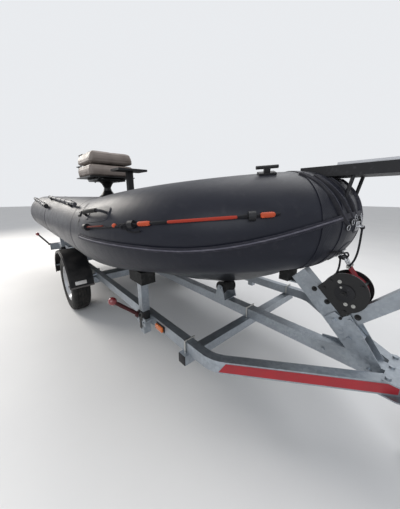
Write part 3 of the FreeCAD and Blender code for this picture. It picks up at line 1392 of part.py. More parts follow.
def back_hinge():
    """Knuckles on the hinge pin and the straps that join them to the backrest's shell."""
    x_span, y_span = seat_spans()
    hinge_x, hinge_z = hinge_place()
    top = SEAT_BASE_Z + CUSHION_THICKNESS + SEAT_FOLD_GAP + BACK_THICKNESS
    pieces = []
    for y in (y_span[0] + 78, y_span[1] - 78):
        knuckle = rod(V(hinge_x, y - 9, hinge_z), V(hinge_x, y + 9, hinge_z), SEAT_HINGE_RADIUS)
        upright = box((hinge_x - 9, x_span[0] - 3), (y - 3, y + 3), (hinge_z, top + 5))
        strap = box((hinge_x - 9, x_span[0] + 90), (y - 9, y + 9), (top + SEAT_GAP, top + 5))
        pin_room = rod(V(hinge_x, y - 20, hinge_z), V(hinge_x, y + 20, hinge_z), SEAT_PIN_RADIUS + PIN_GAP)
        pieces.append(fused([knuckle, upright, strap]).cut(pin_room))
    return Part.makeCompound(pieces)


def accessory_post():
    """A square column on a foot plate, with a small table on top."""
    foot = box((POST_X - 60, POST_X + 60), (POST_Y - 60, POST_Y + 60), (DECK_Z, DECK_Z + 8))
    column = box((POST_X - 22, POST_X + 22), (POST_Y - 22, POST_Y + 22), (DECK_Z, POST_PLATE_Z))
    table = box((POST_X - 80, POST_X + 80), (POST_Y - 120, POST_Y + 120),
                (POST_PLATE_Z, POST_PLATE_Z + 16))
    return fused([foot, column, table])


def deck_z(x):
    """Height of the deck, which rises from station to station."""
    for aft, fore in zip(STATIONS, STATIONS[1:]):
        if x <= fore[0]:
            return aft[3] + (fore[3] - aft[3]) * (x - aft[0]) / (fore[0] - aft[0])
    return STATIONS[-1][3]


def display_stand():
    """A thin column on a foot that follows the rising deck."""
    x, y, z = DISPLAY_X, DISPLAY_Y, DISPLAY_Z
    half = 45
    top = deck_z(x) + 10
    foot = side_prism([(x - half, deck_z(x - half)), (x + half, deck_z(x + half)),
                       (x + half, top), (x - half, top)], (y - half, y + half))
    return fused([foot, rod(V(x, y, deck_z(x) + 3), V(x, y, z - 34), 12)])


def display():
    """A small instrument on top of its stand, tilted back."""
    body = box((-14, 14), (-62, 62), (-34, 40))
    tilted = body.makeFillet(6, body.Edges)
    tilted.rotate(V(0, 0, 0), Y_AXIS, -18)
    tilted.translate(V(DISPLAY_X, DISPLAY_Y, DISPLAY_Z))
    stand = rod(V(DISPLAY_X, DISPLAY_Y, DECK_Z), V(DISPLAY_X, DISPLAY_Y, DISPLAY_Z - 34),
                12 + SEAT_GAP)
    return tilted.cut(stand)


# Bow bracket

def bow_bracket():
    """A flat bracket on the nose, hollowed to the tube, with a strut down to it."""
    half = BRACKET_HALF_WIDTH
    plate = box(BRACKET_X, (-half, half), BRACKET_Z)
    strut = rod(V(2128, -half + 14, BRACKET_Z[0]), V(2110, -half + 14, 1100), 7)
    other = mirrored(strut)
    bracket = clear_of_tubes(fused([plate, strut, other]))
    return bracket.cut(nose_tube(TUBE_RADIUS + BAND_THICKNESS + 2 * SEAT_GAP))


def bracket_rail():
    """The pale wear strip on the bracket and the rounded end block that it runs into."""
    top = BRACKET_Z[1]
    half = BRACKET_HALF_WIDTH
    x0 = BRACKET_X[1]
    strip = box((BRACKET_RAIL_X, x0), (-half + 4, half - 4), (top, top + 10))
    block = box((x0, x0 + END_BLOCK_LENGTH), (-half + 6, half - 6),
                (BRACKET_Z[0] + 2, BRACKET_Z[1] + 10))
    edges = [e for e in block.Edges if abs(e.CenterOfMass.x - x0 - END_BLOCK_LENGTH) < 1]
    return fused([strip, block.makeFillet(16, edges)])


def carry_handle():
    """A webbing handle on a patch on the bow tube."""
    surface, along, outward = on_bow(HANDLE_SHARE, HANDLE_TILT)
    room = bow_tube(TUBE_RADIUS + SEAT_GAP)
    cutter = placed(box((-130, 130), (-48, 48), (-40, 60)), surface, along, outward)
    patch = bow_tube(TUBE_RADIUS + SEAT_GAP + 2.5).common(cutter)
    loop = mitred_rod([V(-100, 0, -6), V(-74, 0, 32), V(74, 0, 32), V(100, 0, -6)], 10)
    return fused([patch, placed(loop, surface, along, outward)]).cut(room)


def valve():
    """An inflation valve on the tube, towards the stern."""
    outward = V(0, -0.5, math.sqrt(0.75))
    surface = V(-1050, TUBE_HALF_SPAN, TUBE_CENTRE_Z) + outward * TUBE_RADIUS
    cap = rod(surface - outward * 8, surface + outward * 9, 32)
    return cap.cut(straight_tube(TUBE_RADIUS + SEAT_GAP))


def export(name, shape):
    moved = shape.copy()
    moved.translate(V(-ORIGIN_X, 0, 0))
    moved.exportStep("parts/" + name + ".step")


def main():
    os.makedirs("parts", exist_ok=True)
    hull_solid = hull_body()
    rollers = roller_places()
    pieces = {
        "tube_bow": nose_tube(TUBE_RADIUS),
        "hull": hull_solid,
        "transom": transom(),
        "bow_strake": strake(),
        "bow_bands": bow_bands(hull_solid),
        "tube_fittings": Part.makeCompound([on_both(rope_holders() + [valve(), cleat()])]
                                           + pole_clips()),
        "stowed_poles": stowed_poles(),
        "painter": cord("painter", PAINTER_ROUTE),
        "eye_rope": cord("eye_rope", EYE_ROPE_ROUTE),
        "carry_handles": on_both([carry_handle()]),
        "lifelines": on_both([lifeline()]),
        "grips": on_both(grips()),
        "bow_eye": bow_eye(),
        "bow_bracket": bow_bracket(),
        "bow_bracket_rail": bracket_rail(),
        "thwart": thwart(),
        "seat_pedestal": seat_pedestal(),
        "seat_base": seat_base(),
        "seat_cushion": seat_cushion(),
        "seat_back": seat_back(),
        "back_hinge": back_hinge(),
        "console_posts": Part.makeCompound([accessory_post(), display_stand()]),
        "display": display(),
        "drawbar": drawbar(),
        "cross_members": cross_members(),
        "u_bolts": u_bolts(),
        "frame_plates": Part.makeCompound(joint_plates() + both(post_gusset())),
        "axle": axle(),
        "mudguards": on_both([mudguard()]),
        "mudguard_stays": on_both(mudguard_stays(MUDGUARD_STAY_RADIUS)),
        "support_posts": on_both(support_posts()),
        "support_pads": on_both(support_pads()),
        "bow_stop": bow_stop(hull_solid),
        "winch_post": winch_post(),
        "post_arm": post_arm(),
        "winch_frame": winch_frame(),
        "winch_strap": winch_strap(),
        "coupling": coupling(),
        "jockey_clamp": jockey_clamp(),
        "jockey_tube": jockey_tube(),
        "jockey_fork": jockey_fork(),
        "jockey_wheel": jockey_wheel(),
        "light_board": light_board(),
        "rear_lamps": on_both([rear_lamp()]),
        "marker_arms": on_both([cleared_arm(foot, tip) for foot, tip in arm_feet()]),
        "marker_lamps": on_both([lamp_head(foot, tip) for foot, tip in arm_feet()] + [side_marker()]),
        "roller_brackets": Part.makeCompound([roller_bracket(*place) for place in rollers]),
    }
    for name, x, z in rollers:
        pieces["keel_roller_" + name] = keel_roller(x, z)
    for name, side in SIDES:
        pieces["tube_" + name] = on_side(side_tube(), side)
        pieces["rail_" + name] = on_side(rail(), side)
        pieces["tyre_" + name] = on_side(tyre(), side)
        pieces["rim_" + name] = on_side(rim(), side)
        pieces["hub_" + name] = on_side(hub(), side)
    for name, shape in pieces.items():
        export(name, shape)


main()
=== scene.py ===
import math

import bmesh
import bpy
from mathutils import Matrix, Vector, noise


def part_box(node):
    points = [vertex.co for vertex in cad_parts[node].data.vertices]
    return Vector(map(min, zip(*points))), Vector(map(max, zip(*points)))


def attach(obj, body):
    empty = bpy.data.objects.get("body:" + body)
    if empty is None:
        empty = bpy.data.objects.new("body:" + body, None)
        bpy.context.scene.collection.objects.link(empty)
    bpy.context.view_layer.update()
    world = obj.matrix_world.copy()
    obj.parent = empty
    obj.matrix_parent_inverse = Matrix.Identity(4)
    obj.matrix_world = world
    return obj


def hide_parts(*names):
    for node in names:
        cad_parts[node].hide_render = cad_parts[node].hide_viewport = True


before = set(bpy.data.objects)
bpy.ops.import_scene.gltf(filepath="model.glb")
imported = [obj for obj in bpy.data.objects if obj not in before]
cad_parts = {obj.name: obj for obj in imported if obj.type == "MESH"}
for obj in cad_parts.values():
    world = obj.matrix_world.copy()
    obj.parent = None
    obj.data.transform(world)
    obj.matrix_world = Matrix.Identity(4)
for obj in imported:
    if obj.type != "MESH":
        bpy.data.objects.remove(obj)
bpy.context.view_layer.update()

# An inflatable boat with a rigid hull on its road trailer: finishes, soft goods, ropes and trim.
# Metres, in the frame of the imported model: x forward, y to port, z up from the ground.

STARBOARD, PORT = -1, 1
BOTH_SIDES = (STARBOARD, PORT)
SIDE_NAMES = ((STARBOARD, "starboard"), (PORT, "port"))
X_AXIS, Y_AXIS, Z_AXIS = Vector((1, 0, 0)), Vector((0, 1, 0)), Vector((0, 0, 1))

# Buoyancy tubes: the same sizes as the model's
TUBE_RADIUS = 0.215
TUBE_HALF_SPAN = 0.565
TUBE_Z = 0.900
STERN_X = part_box("tube_port")[0].x
STERN_CONE = 0.250
STERN_END_RADIUS = 0.095
STERN_END_ROUND = 0.035
RISE_X = 0.175
RISE_RADIUS = 1.500
RISE = math.radians(6.4)
BOW_RADIUS = 1.080
BOW_TURN = math.radians(50)
NOSE_RADIUS = (TUBE_HALF_SPAN - BOW_RADIUS * (1 - math.cos(BOW_TURN))) / math.cos(BOW_TURN)
NOSE_CENTRE = (BOW_RADIUS - NOSE_RADIUS) * math.sin(BOW_TURN)
BOW_ALONG = Vector((math.cos(RISE), 0, math.sin(RISE)))
BOW_NORMAL = Vector((-math.sin(RISE), 0, math.cos(RISE)))
BOW_ORIGIN = Vector((RISE_X + RISE_RADIUS * math.sin(RISE), 0,
                     TUBE_Z + RISE_RADIUS * (1 - math.cos(RISE))))


def bow_point(along, across, above=0.0):
    return BOW_ORIGIN + BOW_ALONG * along + Y_AXIS * across + BOW_NORMAL * above


def on_side(x, tilt, reach, side=STARBOARD):
    """A place by the straight tube: x, degrees up from its outer side, distance from its centre."""
    turn = math.radians(tilt)
    across = TUBE_HALF_SPAN + reach * math.cos(turn)
    return Vector((x, side * across, TUBE_Z + reach * math.sin(turn)))


def on_curve(x, tilt, lift):
    """A place on the starboard skin behind or on the bow's curve, by its rough x."""
    ahead = x - BOW_ORIGIN.x
    if ahead > 0:
        return on_bow(math.degrees(ahead / (BOW_RADIUS + TUBE_RADIUS)), tilt, TUBE_RADIUS + lift)
    share = max(0.0, x - RISE_X)
    rise = RISE_RADIUS - math.sqrt(RISE_RADIUS ** 2 - share ** 2)
    return on_side(x, tilt, TUBE_RADIUS + lift) + Vector((0, 0, rise))


def on_bow(angle, tilt, reach, side=STARBOARD):
    """A place by the bow's curve: degrees round it, degrees up, distance from the tube's centre."""
    turn, lift = math.radians(angle), math.radians(tilt)
    radius = BOW_RADIUS + reach * math.cos(lift)
    across = TUBE_HALF_SPAN - BOW_RADIUS + radius * math.cos(turn)
    return bow_point(radius * math.sin(turn), side * across, reach * math.sin(lift))


def on_nose(angle, tilt, reach):
    """A place by the nose: degrees to port of straight ahead, degrees up, distance from the centre."""
    turn, lift = math.radians(angle), math.radians(tilt)
    radius = NOSE_RADIUS + reach * math.cos(lift)
    return bow_point(NOSE_CENTRE + radius * math.cos(turn), radius * math.sin(turn),
                     reach * math.sin(lift))


# Materials. Every pattern reads the piece's own Object coordinates, and a rope's braid its UV.

class Finish:
    """A material while its nodes are put together."""

    def __init__(self, name, color, roughness, metallic=0.0, specular=0.5):
        self.material = bpy.data.materials.new(name)
        self.material.use_nodes = True
        self.nodes = self.material.node_tree.nodes
        self.links = self.material.node_tree.links
        self.shader = self.nodes["Principled BSDF"]
        self.set("Base Color", (*color, 1))
        self.set("Roughness", roughness)
        self.set("Metallic", metallic)
        self.set("Specular IOR Level", specular)
        self.coordinates = self.nodes.new("ShaderNodeTexCoord").outputs
        self.place = self.coordinates["Object"]

    def set(self, socket, value):
        self.shader.inputs[socket].default_value = value

    def node(self, kind, **inputs):
        """A new node; each input is named with an underscore for its blank, and set or linked."""
        made = self.nodes.new("ShaderNode" + kind)
        for name, value in inputs.items():
            self.feed(made.inputs[name.replace("_", " ")], value)
        return made

    def feed(self, socket, value):
        if isinstance(value, bpy.types.NodeSocket):
            self.links.new(value, socket)
        elif socket.type == "RGBA":
            socket.default_value = (*value, 1)
        else:
            socket.default_value = value

    def noise(self, scale, detail=3.0, stretch=None, rough=0.5):
        place = self.place
        if stretch:
            place = self.node("Mapping", Scale=stretch, Vector=place).outputs["Vector"]
        made = self.node("TexNoise", Scale=scale, Detail=detail, Roughness=rough, Vector=place)
        return made.outputs["Fac"]

    def cells(self, scale, feature="F1"):
        made = self.node("TexVoronoi", Scale=scale, Vector=self.place)
        made.feature = feature
        return made.outputs

    def waves(self, scale, direction, place=None):
        made = self.node("TexWave", Scale=scale, Vector=place or self.place)
        made.bands_direction = direction
        return made.outputs["Fac"]

    def along_x(self):
        return self.node("SeparateXYZ", Vector=self.place).outputs["X"]

    def levels(self, value, low, high, out_low=0.0, out_high=1.0):
        return self.node("MapRange", Value=value, From_Min=low, From_Max=high, To_Min=out_low,
                         To_Max=out_high).outputs["Result"]

    def math(self, operation, *values):
        made = self.nodes.new("ShaderNodeMath")
        made.operation = operation
        for socket, value in zip(made.inputs, values):
            self.feed(socket, value)
        return made.outputs["Value"]

    def colors(self, factor, first, second):
        """Mix two colours, each a tuple or another mix, by a factor."""
        made = self.node("Mix")
        made.data_type = "RGBA"
        self.feed(made.inputs["Factor"], factor)
        sockets = [socket for socket in made.inputs if socket.type == "RGBA"]
        for socket, color in zip(sockets, (first, second)):
            self.feed(socket, color)
        return next(socket for socket in made.outputs if socket.type == "RGBA")

    def color(self, source):
        self.feed(self.shader.inputs["Base Color"], source)

    def roughness(self, source):
        self.feed(self.shader.inputs["Roughness"], source)

    def bump(self, height, depth, strength=1.0):
        """Raise the surface by a height pattern; a second call lies on the first."""
        made = self.node("Bump", Strength=strength, Distance=depth, Height=height)
        held = self.shader.inputs["Normal"]
        if held.is_linked:
            self.feed(made.inputs["Normal"], held.links[0].from_socket)
        self.feed(held, made.outputs["Normal"])

    def bumps(self, *rows):
        """Bumps of noise: scale, detail, depth and strength of each."""
        for scale, detail, depth, strength in rows:
            self.bump(self.noise(scale, detail), depth, strength)
        return self


def worn(name, roughness, specular, wear, span, clean, dirty, rough=None, color=None, metallic=0.0):
    """A finish whose wear, noise between two levels, changes its colour and its roughness."""
    f = Finish(name, color or clean, roughness, metallic, specular)
    wear = f.levels(f.noise(*wear), *span)
    f.color(f.colors(wear, clean, dirty))
    if rough:
        f.roughness(f.levels(wear, 0.0, 1.0, *rough))
    return f


def polished(name, color, roughness, metallic, grain, span):
    """A smooth finish whose roughness alone changes, with noise between two levels."""
    f = Finish(name, color, roughness, metallic)
    f.roughness(f.levels(f.noise(*grain), *span))
    return f


def tube_fabric():
    """Coated fabric, near black with a blue cast, with patchy dust and rubbed wear, and pale streaks
    towards the stern that are a painted highlight of low sun on wrinkles.
    """
    f = Finish("tube_fabric", (0.009, 0.010, 0.017), 0.42, specular=0.24)
    dust = f.levels(f.noise(3.0, 5.0, (1.0, 1.0, 2.2), 0.62), 0.42, 0.78)
    rubbed = f.levels(f.noise(26.0, 4.0), 0.58, 0.82)
    base = f.colors(dust, (0.0070, 0.0080, 0.0150), (0.0135, 0.0150, 0.0235))
    base = f.colors(f.math("MULTIPLY", rubbed, 0.5), base, (0.026, 0.027, 0.034))
    # Painted highlight: pale streaks of low sun on wrinkled fabric, growing towards the stern
    aft = f.levels(f.along_x(), 0.9, -0.9, 0.0, 0.7)
    highlight_streaks = f.levels(f.noise(5.0, 4.0, (3.6, 0.9, 0.9), 0.6), 0.38, 0.78)
    f.color(f.colors(f.math("MULTIPLY", aft, highlight_streaks), base, (0.036, 0.036, 0.043)))
    f.roughness(f.levels(dust, 0.0, 1.0, 0.38, 0.56))
    f.bump(f.noise(9.0, 2.0, (2.4, 1.0, 0.6)), 0.004, 0.35)
    f.set("Sheen Weight", 0.03)
    return f.bumps((620.0, 2.0, 0.0004, 0.5))


def strake_rubber(name, clean, dirty):
    f = worn(name, 0.55, 0.25, (40.0, 4.0, (0.4, 1.0, 3.0)), (0.5, 0.75), clean, dirty)
    return f.bumps((500.0, 1.0, 0.0004, 0.4))


def patch_fabric():
    """The tougher fabric of the patches and bands, with a fine rib."""
    f = worn("patch_fabric", 0.48, 0.25, (12.0, 4.0), (0.45, 0.8), (0.013, 0.014, 0.021),
             (0.040, 0.041, 0.049), color=(0.016, 0.018, 0.025))
    f.bump(f.waves(60.0, "DIAGONAL"), 0.0008, 0.35)
    return f


def moulding(name, base, rough):
    """Injection-moulded fittings with a fine spark texture."""
    f = worn(name, rough, 0.28, (55.0, 5.0), (0.58, 0.78), base, tuple(c * 2.2 + 0.008 for c in base))
    return f.bumps((900.0, 2.0, 0.00035, 0.5))


def rubber(name, base):
    f = worn(name, 0.72, 0.22, (40.0, 4.0), (0.5, 0.8), base, tuple(c + 0.026 for c in base))
    return f.bumps((300.0, 3.0, 0.0006, 0.4))


def arm_rubber():
    """Black rubber behind, dark red rubber in front of the axle."""
    f = Finish("arm_rubber", (0.011, 0.011, 0.011), 0.7, specular=0.22)
    f.color(f.colors(f.levels(f.along_x(), -0.5, -0.4), (0.011, 0.011, 0.011), (0.052, 0.014, 0.014)))
    return f.bumps((300.0, 3.0, 0.0006, 0.4))


def galvanised():
    """Hot-dip zinc: a spangle of dull crystals, brighter runs and some grey bloom."""
    f = Finish("galvanised", (0.34, 0.37, 0.41), 0.44, 0.82)
    tone = f.levels(f.cells(85.0)["Color"], 0.0, 1.0)
    bloom = f.levels(f.noise(5.0, 5.0, None, 0.65), 0.4, 0.72)
    crystals = f.colors(tone, (0.28, 0.31, 0.345), (0.40, 0.435, 0.475))
    f.color(f.colors(bloom, crystals, (0.26, 0.28, 0.30)))
    f.roughness(f.levels(f.math("ADD", tone, bloom), 0.0, 2.0, 0.32, 0.58))
    f.bumps((34.0, 3.0, 0.0008, 0.22))
    f.bump(tone, 0.0002, 0.2)
    return f


def seat_vinyl():
    """Warm grey vinyl with a leather grain and a little dirt in patches."""
    f = worn("seat_vinyl", 0.48, 0.35, (9.0, 5.0), (0.45, 0.75), (0.205, 0.173, 0.156),
             (0.142, 0.116, 0.102), (0.42, 0.58), (0.20, 0.168, 0.150))
    f.bump(f.levels(f.cells(260.0, "DISTANCE_TO_EDGE")["Distance"], 0.0, 0.16), 0.0005, 0.45)
    return f.bumps((45.0, 3.0, 0.0012, 0.3))


def black_paint():
    """Gloss paint, chipped to the primer here and there."""
    f = worn("black_paint", 0.34, 0.3, (70.0, 6.0, None, 0.7), (0.66, 0.72), (0.0085, 0.0085, 0.0095),
             (0.12, 0.10, 0.085), color=(0.010, 0.010, 0.011))
    f.roughness(f.levels(f.noise(30.0, 3.0), 0.3, 0.7, 0.26, 0.44))
    f.set("Coat Weight", 0.08)
    return f.bumps((160.0, 2.0, 0.0004, 0.25))


def painted_board():
    """Plywood under dark paint, its grain lines showing."""
    f = Finish("painted_board", (0.05, 0.047, 0.045), 0.55)
    grain = f.noise(14.0, 6.0, (1.0, 14.0, 14.0), 0.65)
    f.color(f.colors(f.levels(grain, 0.4, 0.7), (0.035, 0.033, 0.033), (0.10, 0.085, 0.07)))
    f.bump(grain, 0.001, 0.35)
    return f


def rope_braid(name, base, fleck):
    """Braided cord: diagonal strands that follow the cord's own UV."""
    f = Finish(name, base, 0.78, specular=0.22)
    strands = f.waves(22.0, "DIAGONAL", f.coordinates["UV"])
    f.color(f.colors(f.levels(strands, 0.2, 0.8), base, fleck))
    f.bump(strands, 0.0012, 0.7)
    return f.bumps((900.0, 2.0, 0.0004, 0.5))


def webbing(name, clean, dirty):
    """Woven strap, its ribs across and its warp along."""
    f = worn(name, 0.75, 0.22, (30.0, 4.0), (0.4, 0.75), clean, dirty)
    f.bump(f.math("MULTIPLY", f.waves(150.0, "Y"), f.waves(150.0, "Z")), 0.0005, 0.6)
    return f


def lens(name, base, strength):
    """A moulded lamp lens, ribbed inside, over a reflector."""
    f = Finish(name, base, 0.16)
    ribs = f.math("MULTIPLY", f.waves(70.0, "Y"), f.waves(70.0, "Z"))
    f.color(f.colors(f.levels(ribs, 0.2, 0.8), base, tuple(min(1.0, c * 1.6 + 0.02) for c in base)))
    f.bump(ribs, 0.0008, 0.5)
    f.set("Coat Weight", 0.6)
    f.set("Emission Color", (*base, 1))
    f.set("Emission Strength", strength)
    return f


def white_reflector():
    """Pale moulded prisms under a clear face."""
    f = Finish("white_reflector", (0.62, 0.60, 0.58), 0.22)
    prisms = f.cells(420.0)["Distance"]
    f.color(f.colors(f.levels(prisms, 0.0, 0.8), (0.72, 0.70, 0.68), (0.45, 0.43, 0.42)))
    f.bump(prisms, 0.0008, 0.6)
    f.set("Coat Weight", 0.5)
    return f


def deck_mat():
    """Foam sheet with a grid of narrow grooves, darkened inside as painted shade."""
    f = Finish("deck_mat", (0.045, 0.046, 0.050), 0.78)
    across = f.levels(f.waves(7.0, "Y"), 0.02, 0.10)
    dirt = f.levels(f.noise(7.0, 5.0), 0.45, 0.75)
    base = f.colors(dirt, (0.042, 0.043, 0.048), (0.075, 0.072, 0.070))
    # Painted shade: near black in the grooves, the foam's own colour and dirt elsewhere
    f.color(f.colors(across, (0.012, 0.012, 0.013), base))
    f.bump(across, 0.002, 0.7)
    return f.bumps((600.0, 2.0, 0.0005, 0.6))


FINISHES = {
    "tube": tube_fabric(),
    "hull": worn("hull_shell", 0.36, 0.3, (14.0, 6.0, (0.5, 3.0, 3.0), 0.7), (0.56, 0.74),
                 (0.013, 0.014, 0.018), (0.050, 0.051, 0.054), (0.30, 0.62), (0.015, 0.016, 0.019)
                 ).bumps((6.0, 2.0, 0.0016, 0.4), (300.0, 2.0, 0.0003, 0.25)),
    "strake": strake_rubber("strake_rubber", (0.014, 0.014, 0.022), (0.034, 0.033, 0.044)),
    "crest": strake_rubber("strake_crest", (0.085, 0.082, 0.105), (0.17, 0.165, 0.19)),
    "thread": strake_rubber("seam_thread", (0.038, 0.038, 0.050), (0.075, 0.075, 0.090)),
    "patch": patch_fabric(),
    "moulding": moulding("black_moulding", (0.011, 0.011, 0.013), 0.5),
    "grip": moulding("orange_grip", (0.42, 0.060, 0.020), 0.45),
    "pole": moulding("pole_shaft", (0.050, 0.050, 0.055), 0.35),
    "zinc": galvanised(),
    "bright": polished("bright_zinc", (0.44, 0.44, 0.42), 0.32, 1.0, (120.0, 3.0), (0.3, 0.7, 0.24, 0.44)
                       ).bumps((400.0, 2.0, 0.0003, 0.25)),
    "stainless": polished("stainless", (0.33, 0.335, 0.35), 0.26, 1.0, (200.0, 2.0),
                          (0.3, 0.7, 0.20, 0.36)),
    "screen": polished("dark_screen", (0.008, 0.010, 0.014), 0.08, 0.0, (14.0, 4.0),
                       (0.35, 0.7, 0.05, 0.2)),
    "mudguard": worn("mudguard_plastic", 0.48, 0.25, (8.0, 5.0, (1.0, 1.0, 1.6)), (0.45, 0.8),
                     (0.009, 0.009, 0.010), (0.032, 0.030, 0.029), (0.40, 0.62), (0.010, 0.010, 0.011)
                     ).bumps((700.0, 2.0, 0.0003, 0.5)),
    "tyre": worn("tyre_rubber", 0.70, 0.22, (22.0, 5.0), (0.42, 0.72), (0.010, 0.010, 0.010),
                 (0.040, 0.037, 0.034), (0.58, 0.82), (0.012, 0.012, 0.012)
                 ).bumps((420.0, 3.0, 0.0005, 0.4)),
    "wheel": worn("wheel_steel", 0.38, 0.5, (18.0, 5.0), (0.45, 0.75), (0.38, 0.39, 0.41),
                  (0.23, 0.215, 0.20), (0.30, 0.55), (0.36, 0.37, 0.39), 0.65
                  ).bumps((90.0, 2.0, 0.0003, 0.25)),
    "pale": worn("pale_plastic", 0.4, 0.5, (38.0, 6.0, (0.3, 2.0, 2.0), 0.7), (0.55, 0.7),
                 (0.46, 0.47, 0.50), (0.28, 0.28, 0.30), color=(0.42, 0.43, 0.46)
                 ).bumps((600.0, 2.0, 0.0003, 0.35)),
    "stripe": worn("stripe_film", 0.36, 0.5, (10.0, 5.0), (0.4, 0.75), (0.33, 0.006, 0.014),
                   (0.25, 0.010, 0.017), color=(0.32, 0.006, 0.014)).bumps((60.0, 2.0, 0.0003, 0.25)),
    "vinyl": seat_vinyl(),
    "paint": black_paint(),
    "board": painted_board(),
    "mat": deck_mat(),
    "rubber": rubber("rubber", (0.011, 0.011, 0.011)),
    "guard_lip": rubber("guard_lip", (0.105, 0.095, 0.092)),
    "arm_rubber": arm_rubber(),
    "rope": rope_braid("black_rope", (0.009, 0.009, 0.011), (0.030, 0.030, 0.035)),
    "line_red": rope_braid("red_line", (0.11, 0.020, 0.014), (0.20, 0.040, 0.030)),
    "sleeve": rope_braid("red_sleeve", (0.32, 0.035, 0.02), (0.50, 0.075, 0.045)),
    "webbing": webbing("red_webbing", (0.20, 0.014, 0.022), (0.075, 0.012, 0.015)),
    "webbing_black": webbing("black_webbing", (0.011, 0.011, 0.015), (0.027, 0.027, 0.032)),
    "webbing_pale": webbing("pale_webbing", (0.20, 0.195, 0.19), (0.11, 0.105, 0.10)),
    "red_lens": lens("red_lens", (0.42, 0.012, 0.020), 0.05),
    "dark_lens": lens("dark_lens", (0.16, 0.012, 0.016), 0.03),
    "amber_lens": lens("amber_lens", (0.46, 0.105, 0.010), 0.05),
    "reflector": white_reflector(),
}

# The frame's nodes that keep their shape, or lend it to a piece, by finish
NODES_OF_FINISH = {
    "tube": "tube_starboard tube_port tube_bow",
    "hull": "hull transom",
    "strake": "bow_strake",
    "patch": "bow_bands",
    "moulding": "tube_fittings carry_handles bow_bracket console_posts",
    "stainless": "bow_eye",
    "pale": "bow_bracket_rail",
    "board": "thwart",
    "paint": "seat_pedestal seat_base back_hinge winch_frame",
    "screen": "display",
    "zinc": "rail_starboard rail_port drawbar cross_members frame_plates axle mudguard_stays support_posts"
            " roller_brackets winch_post post_arm coupling jockey_clamp jockey_fork light_board",
    "bright": "u_bolts jockey_tube hub_starboard hub_port",
    "mudguard": "mudguards",
    "tyre": "tyre_starboard tyre_port",
    "wheel": "rim_starboard rim_port",
    "rubber": "support_pads bow_stop jockey_wheel keel_roller_rear keel_roller_middle keel_roller_front",
    "arm_rubber": "marker_arms",
    "webbing": "winch_strap",
    "red_lens": "rear_lamps marker_lamps",
    "rope": "lifelines painter eye_rope",
    "grip": "grips",
    "pole": "stowed_poles",
    "vinyl": "seat_cushion seat_back",
}


def finish_nodes():
    """Give each node of the frame its finish."""
    for finish, names in NODES_OF_FINISH.items():
        for name in names.split():
            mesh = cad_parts[name].data
            mesh.materials.clear()
            mesh.materials.append(FINISHES[finish].material)


# Making pieces

def linked(name, data):
    """A new object in the scene."""
    obj = bpy.data.objects.new(name, data)
    bpy.context.scene.collection.objects.link(obj)
    return obj


def riding(obj, finish, slot, body, replaces):
    """Give an object its finish and body, and hide the nodes that it stands for; the slot is not used."""
    obj.data.materials.append(FINISHES[finish].material)
    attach(obj, body)
    if replaces:
        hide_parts(*replaces)
    return obj


def mesh_of(name, bm):
    mesh = bpy.data.meshes.new(name)
    bm.to_mesh(mesh)
    bm.free()
    return mesh


def piece(name, bm, finish, slot, body="root", replaces=(), crease=None):
    """Turn a bmesh into a piece that rides on a body, its edges sharp over the crease's angle."""
    bmesh.ops.recalc_face_normals(bm, faces=bm.faces)
    mesh = mesh_of(name, bm)
    for face in mesh.polygons:
        face.use_smooth = True
    if crease is not None:
        mesh.set_sharp_from_angle(angle=math.radians(crease))
    return riding(linked(name, mesh), finish, slot, body, replaces)


def rope(name, points, radius, finish, slot, round_steps=6, replaces=()):
    """A round cord on a NURBS line through given points, still a curve."""
    curve = bpy.data.curves.new(name, "CURVE")
    curve.dimensions = "3D"
    curve.bevel_depth = radius
    curve.bevel_resolution = round_steps // 2
    curve.use_fill_caps = True
    spline = curve.splines.new("NURBS")
    spline.points.add(len(points) - 1)
    for point, place in zip(spline.points, points):
        point.co = (*place, 1)
    spline.order_u = 3
    spline.use_endpoint_u = True
    spline.resolution_u = 6
    return riding(linked(name, curve), finish, slot, "root", replaces)


def turn_to(axis):
    """A turn whose z points along an axis."""
    return axis.to_track_quat("Z", "Y").to_matrix().to_4x4()


def facing(along, outward):
    """A turn whose x runs along a direction and whose z points outward."""
    x = along.normalized()
    z = (outward - x * outward.dot(x)).normalized()
    return Matrix((x, z.cross(x), z)).transposed().to_4x4()


def ring(bm, centre, normal, radius, count):
    """A ring of edges round a point, square to a direction."""
    made = bmesh.ops.create_circle(bm, cap_ends=False, radius=radius, segments=count,
                                   matrix=Matrix.Translation(centre) @ turn_to(normal))
    return list({edge for vert in made["verts"] for edge in vert.link_edges})


def ends(edges):
    return list({vert for edge in edges for vert in edge.verts})


def drawn(bm, edges, matrix):
    """Extrude edges and move the new ones; gives the new edges."""
    made = bmesh.ops.extrude_edge_only(bm, edges=edges)["geom"]
    verts = [part for part in made if isinstance(part, bmesh.types.BMVert)]
    bmesh.ops.transform(bm, matrix=matrix, verts=verts)
    fresh = set(verts)
    return [part for part in made if isinstance(part, bmesh.types.BMEdge)
            and all(vert in fresh for vert in part.verts)]


def swung(bm, edges, centre, axis, angle, steps):
    """Spin edges round an axis; gives the last ones."""
    made = bmesh.ops.spin(bm, geom=ends(edges) + edges, cent=centre, axis=axis, angle=angle,
                          steps=steps, use_duplicate=False)["geom_last"]
    return [part for part in made if isinstance(part, bmesh.types.BMEdge)]


def scaled_at(centre, factor):
    return Matrix.Translation(centre) @ Matrix.Scale(factor, 4) @ Matrix.Translation(-centre)


def grid(bm, columns, rows):
    """The points of a flat grid from -1 to 1, for a sheet that is then laid on a skin."""
    return bmesh.ops.create_grid(bm, x_segments=columns, y_segments=rows, size=1.0)["verts"]


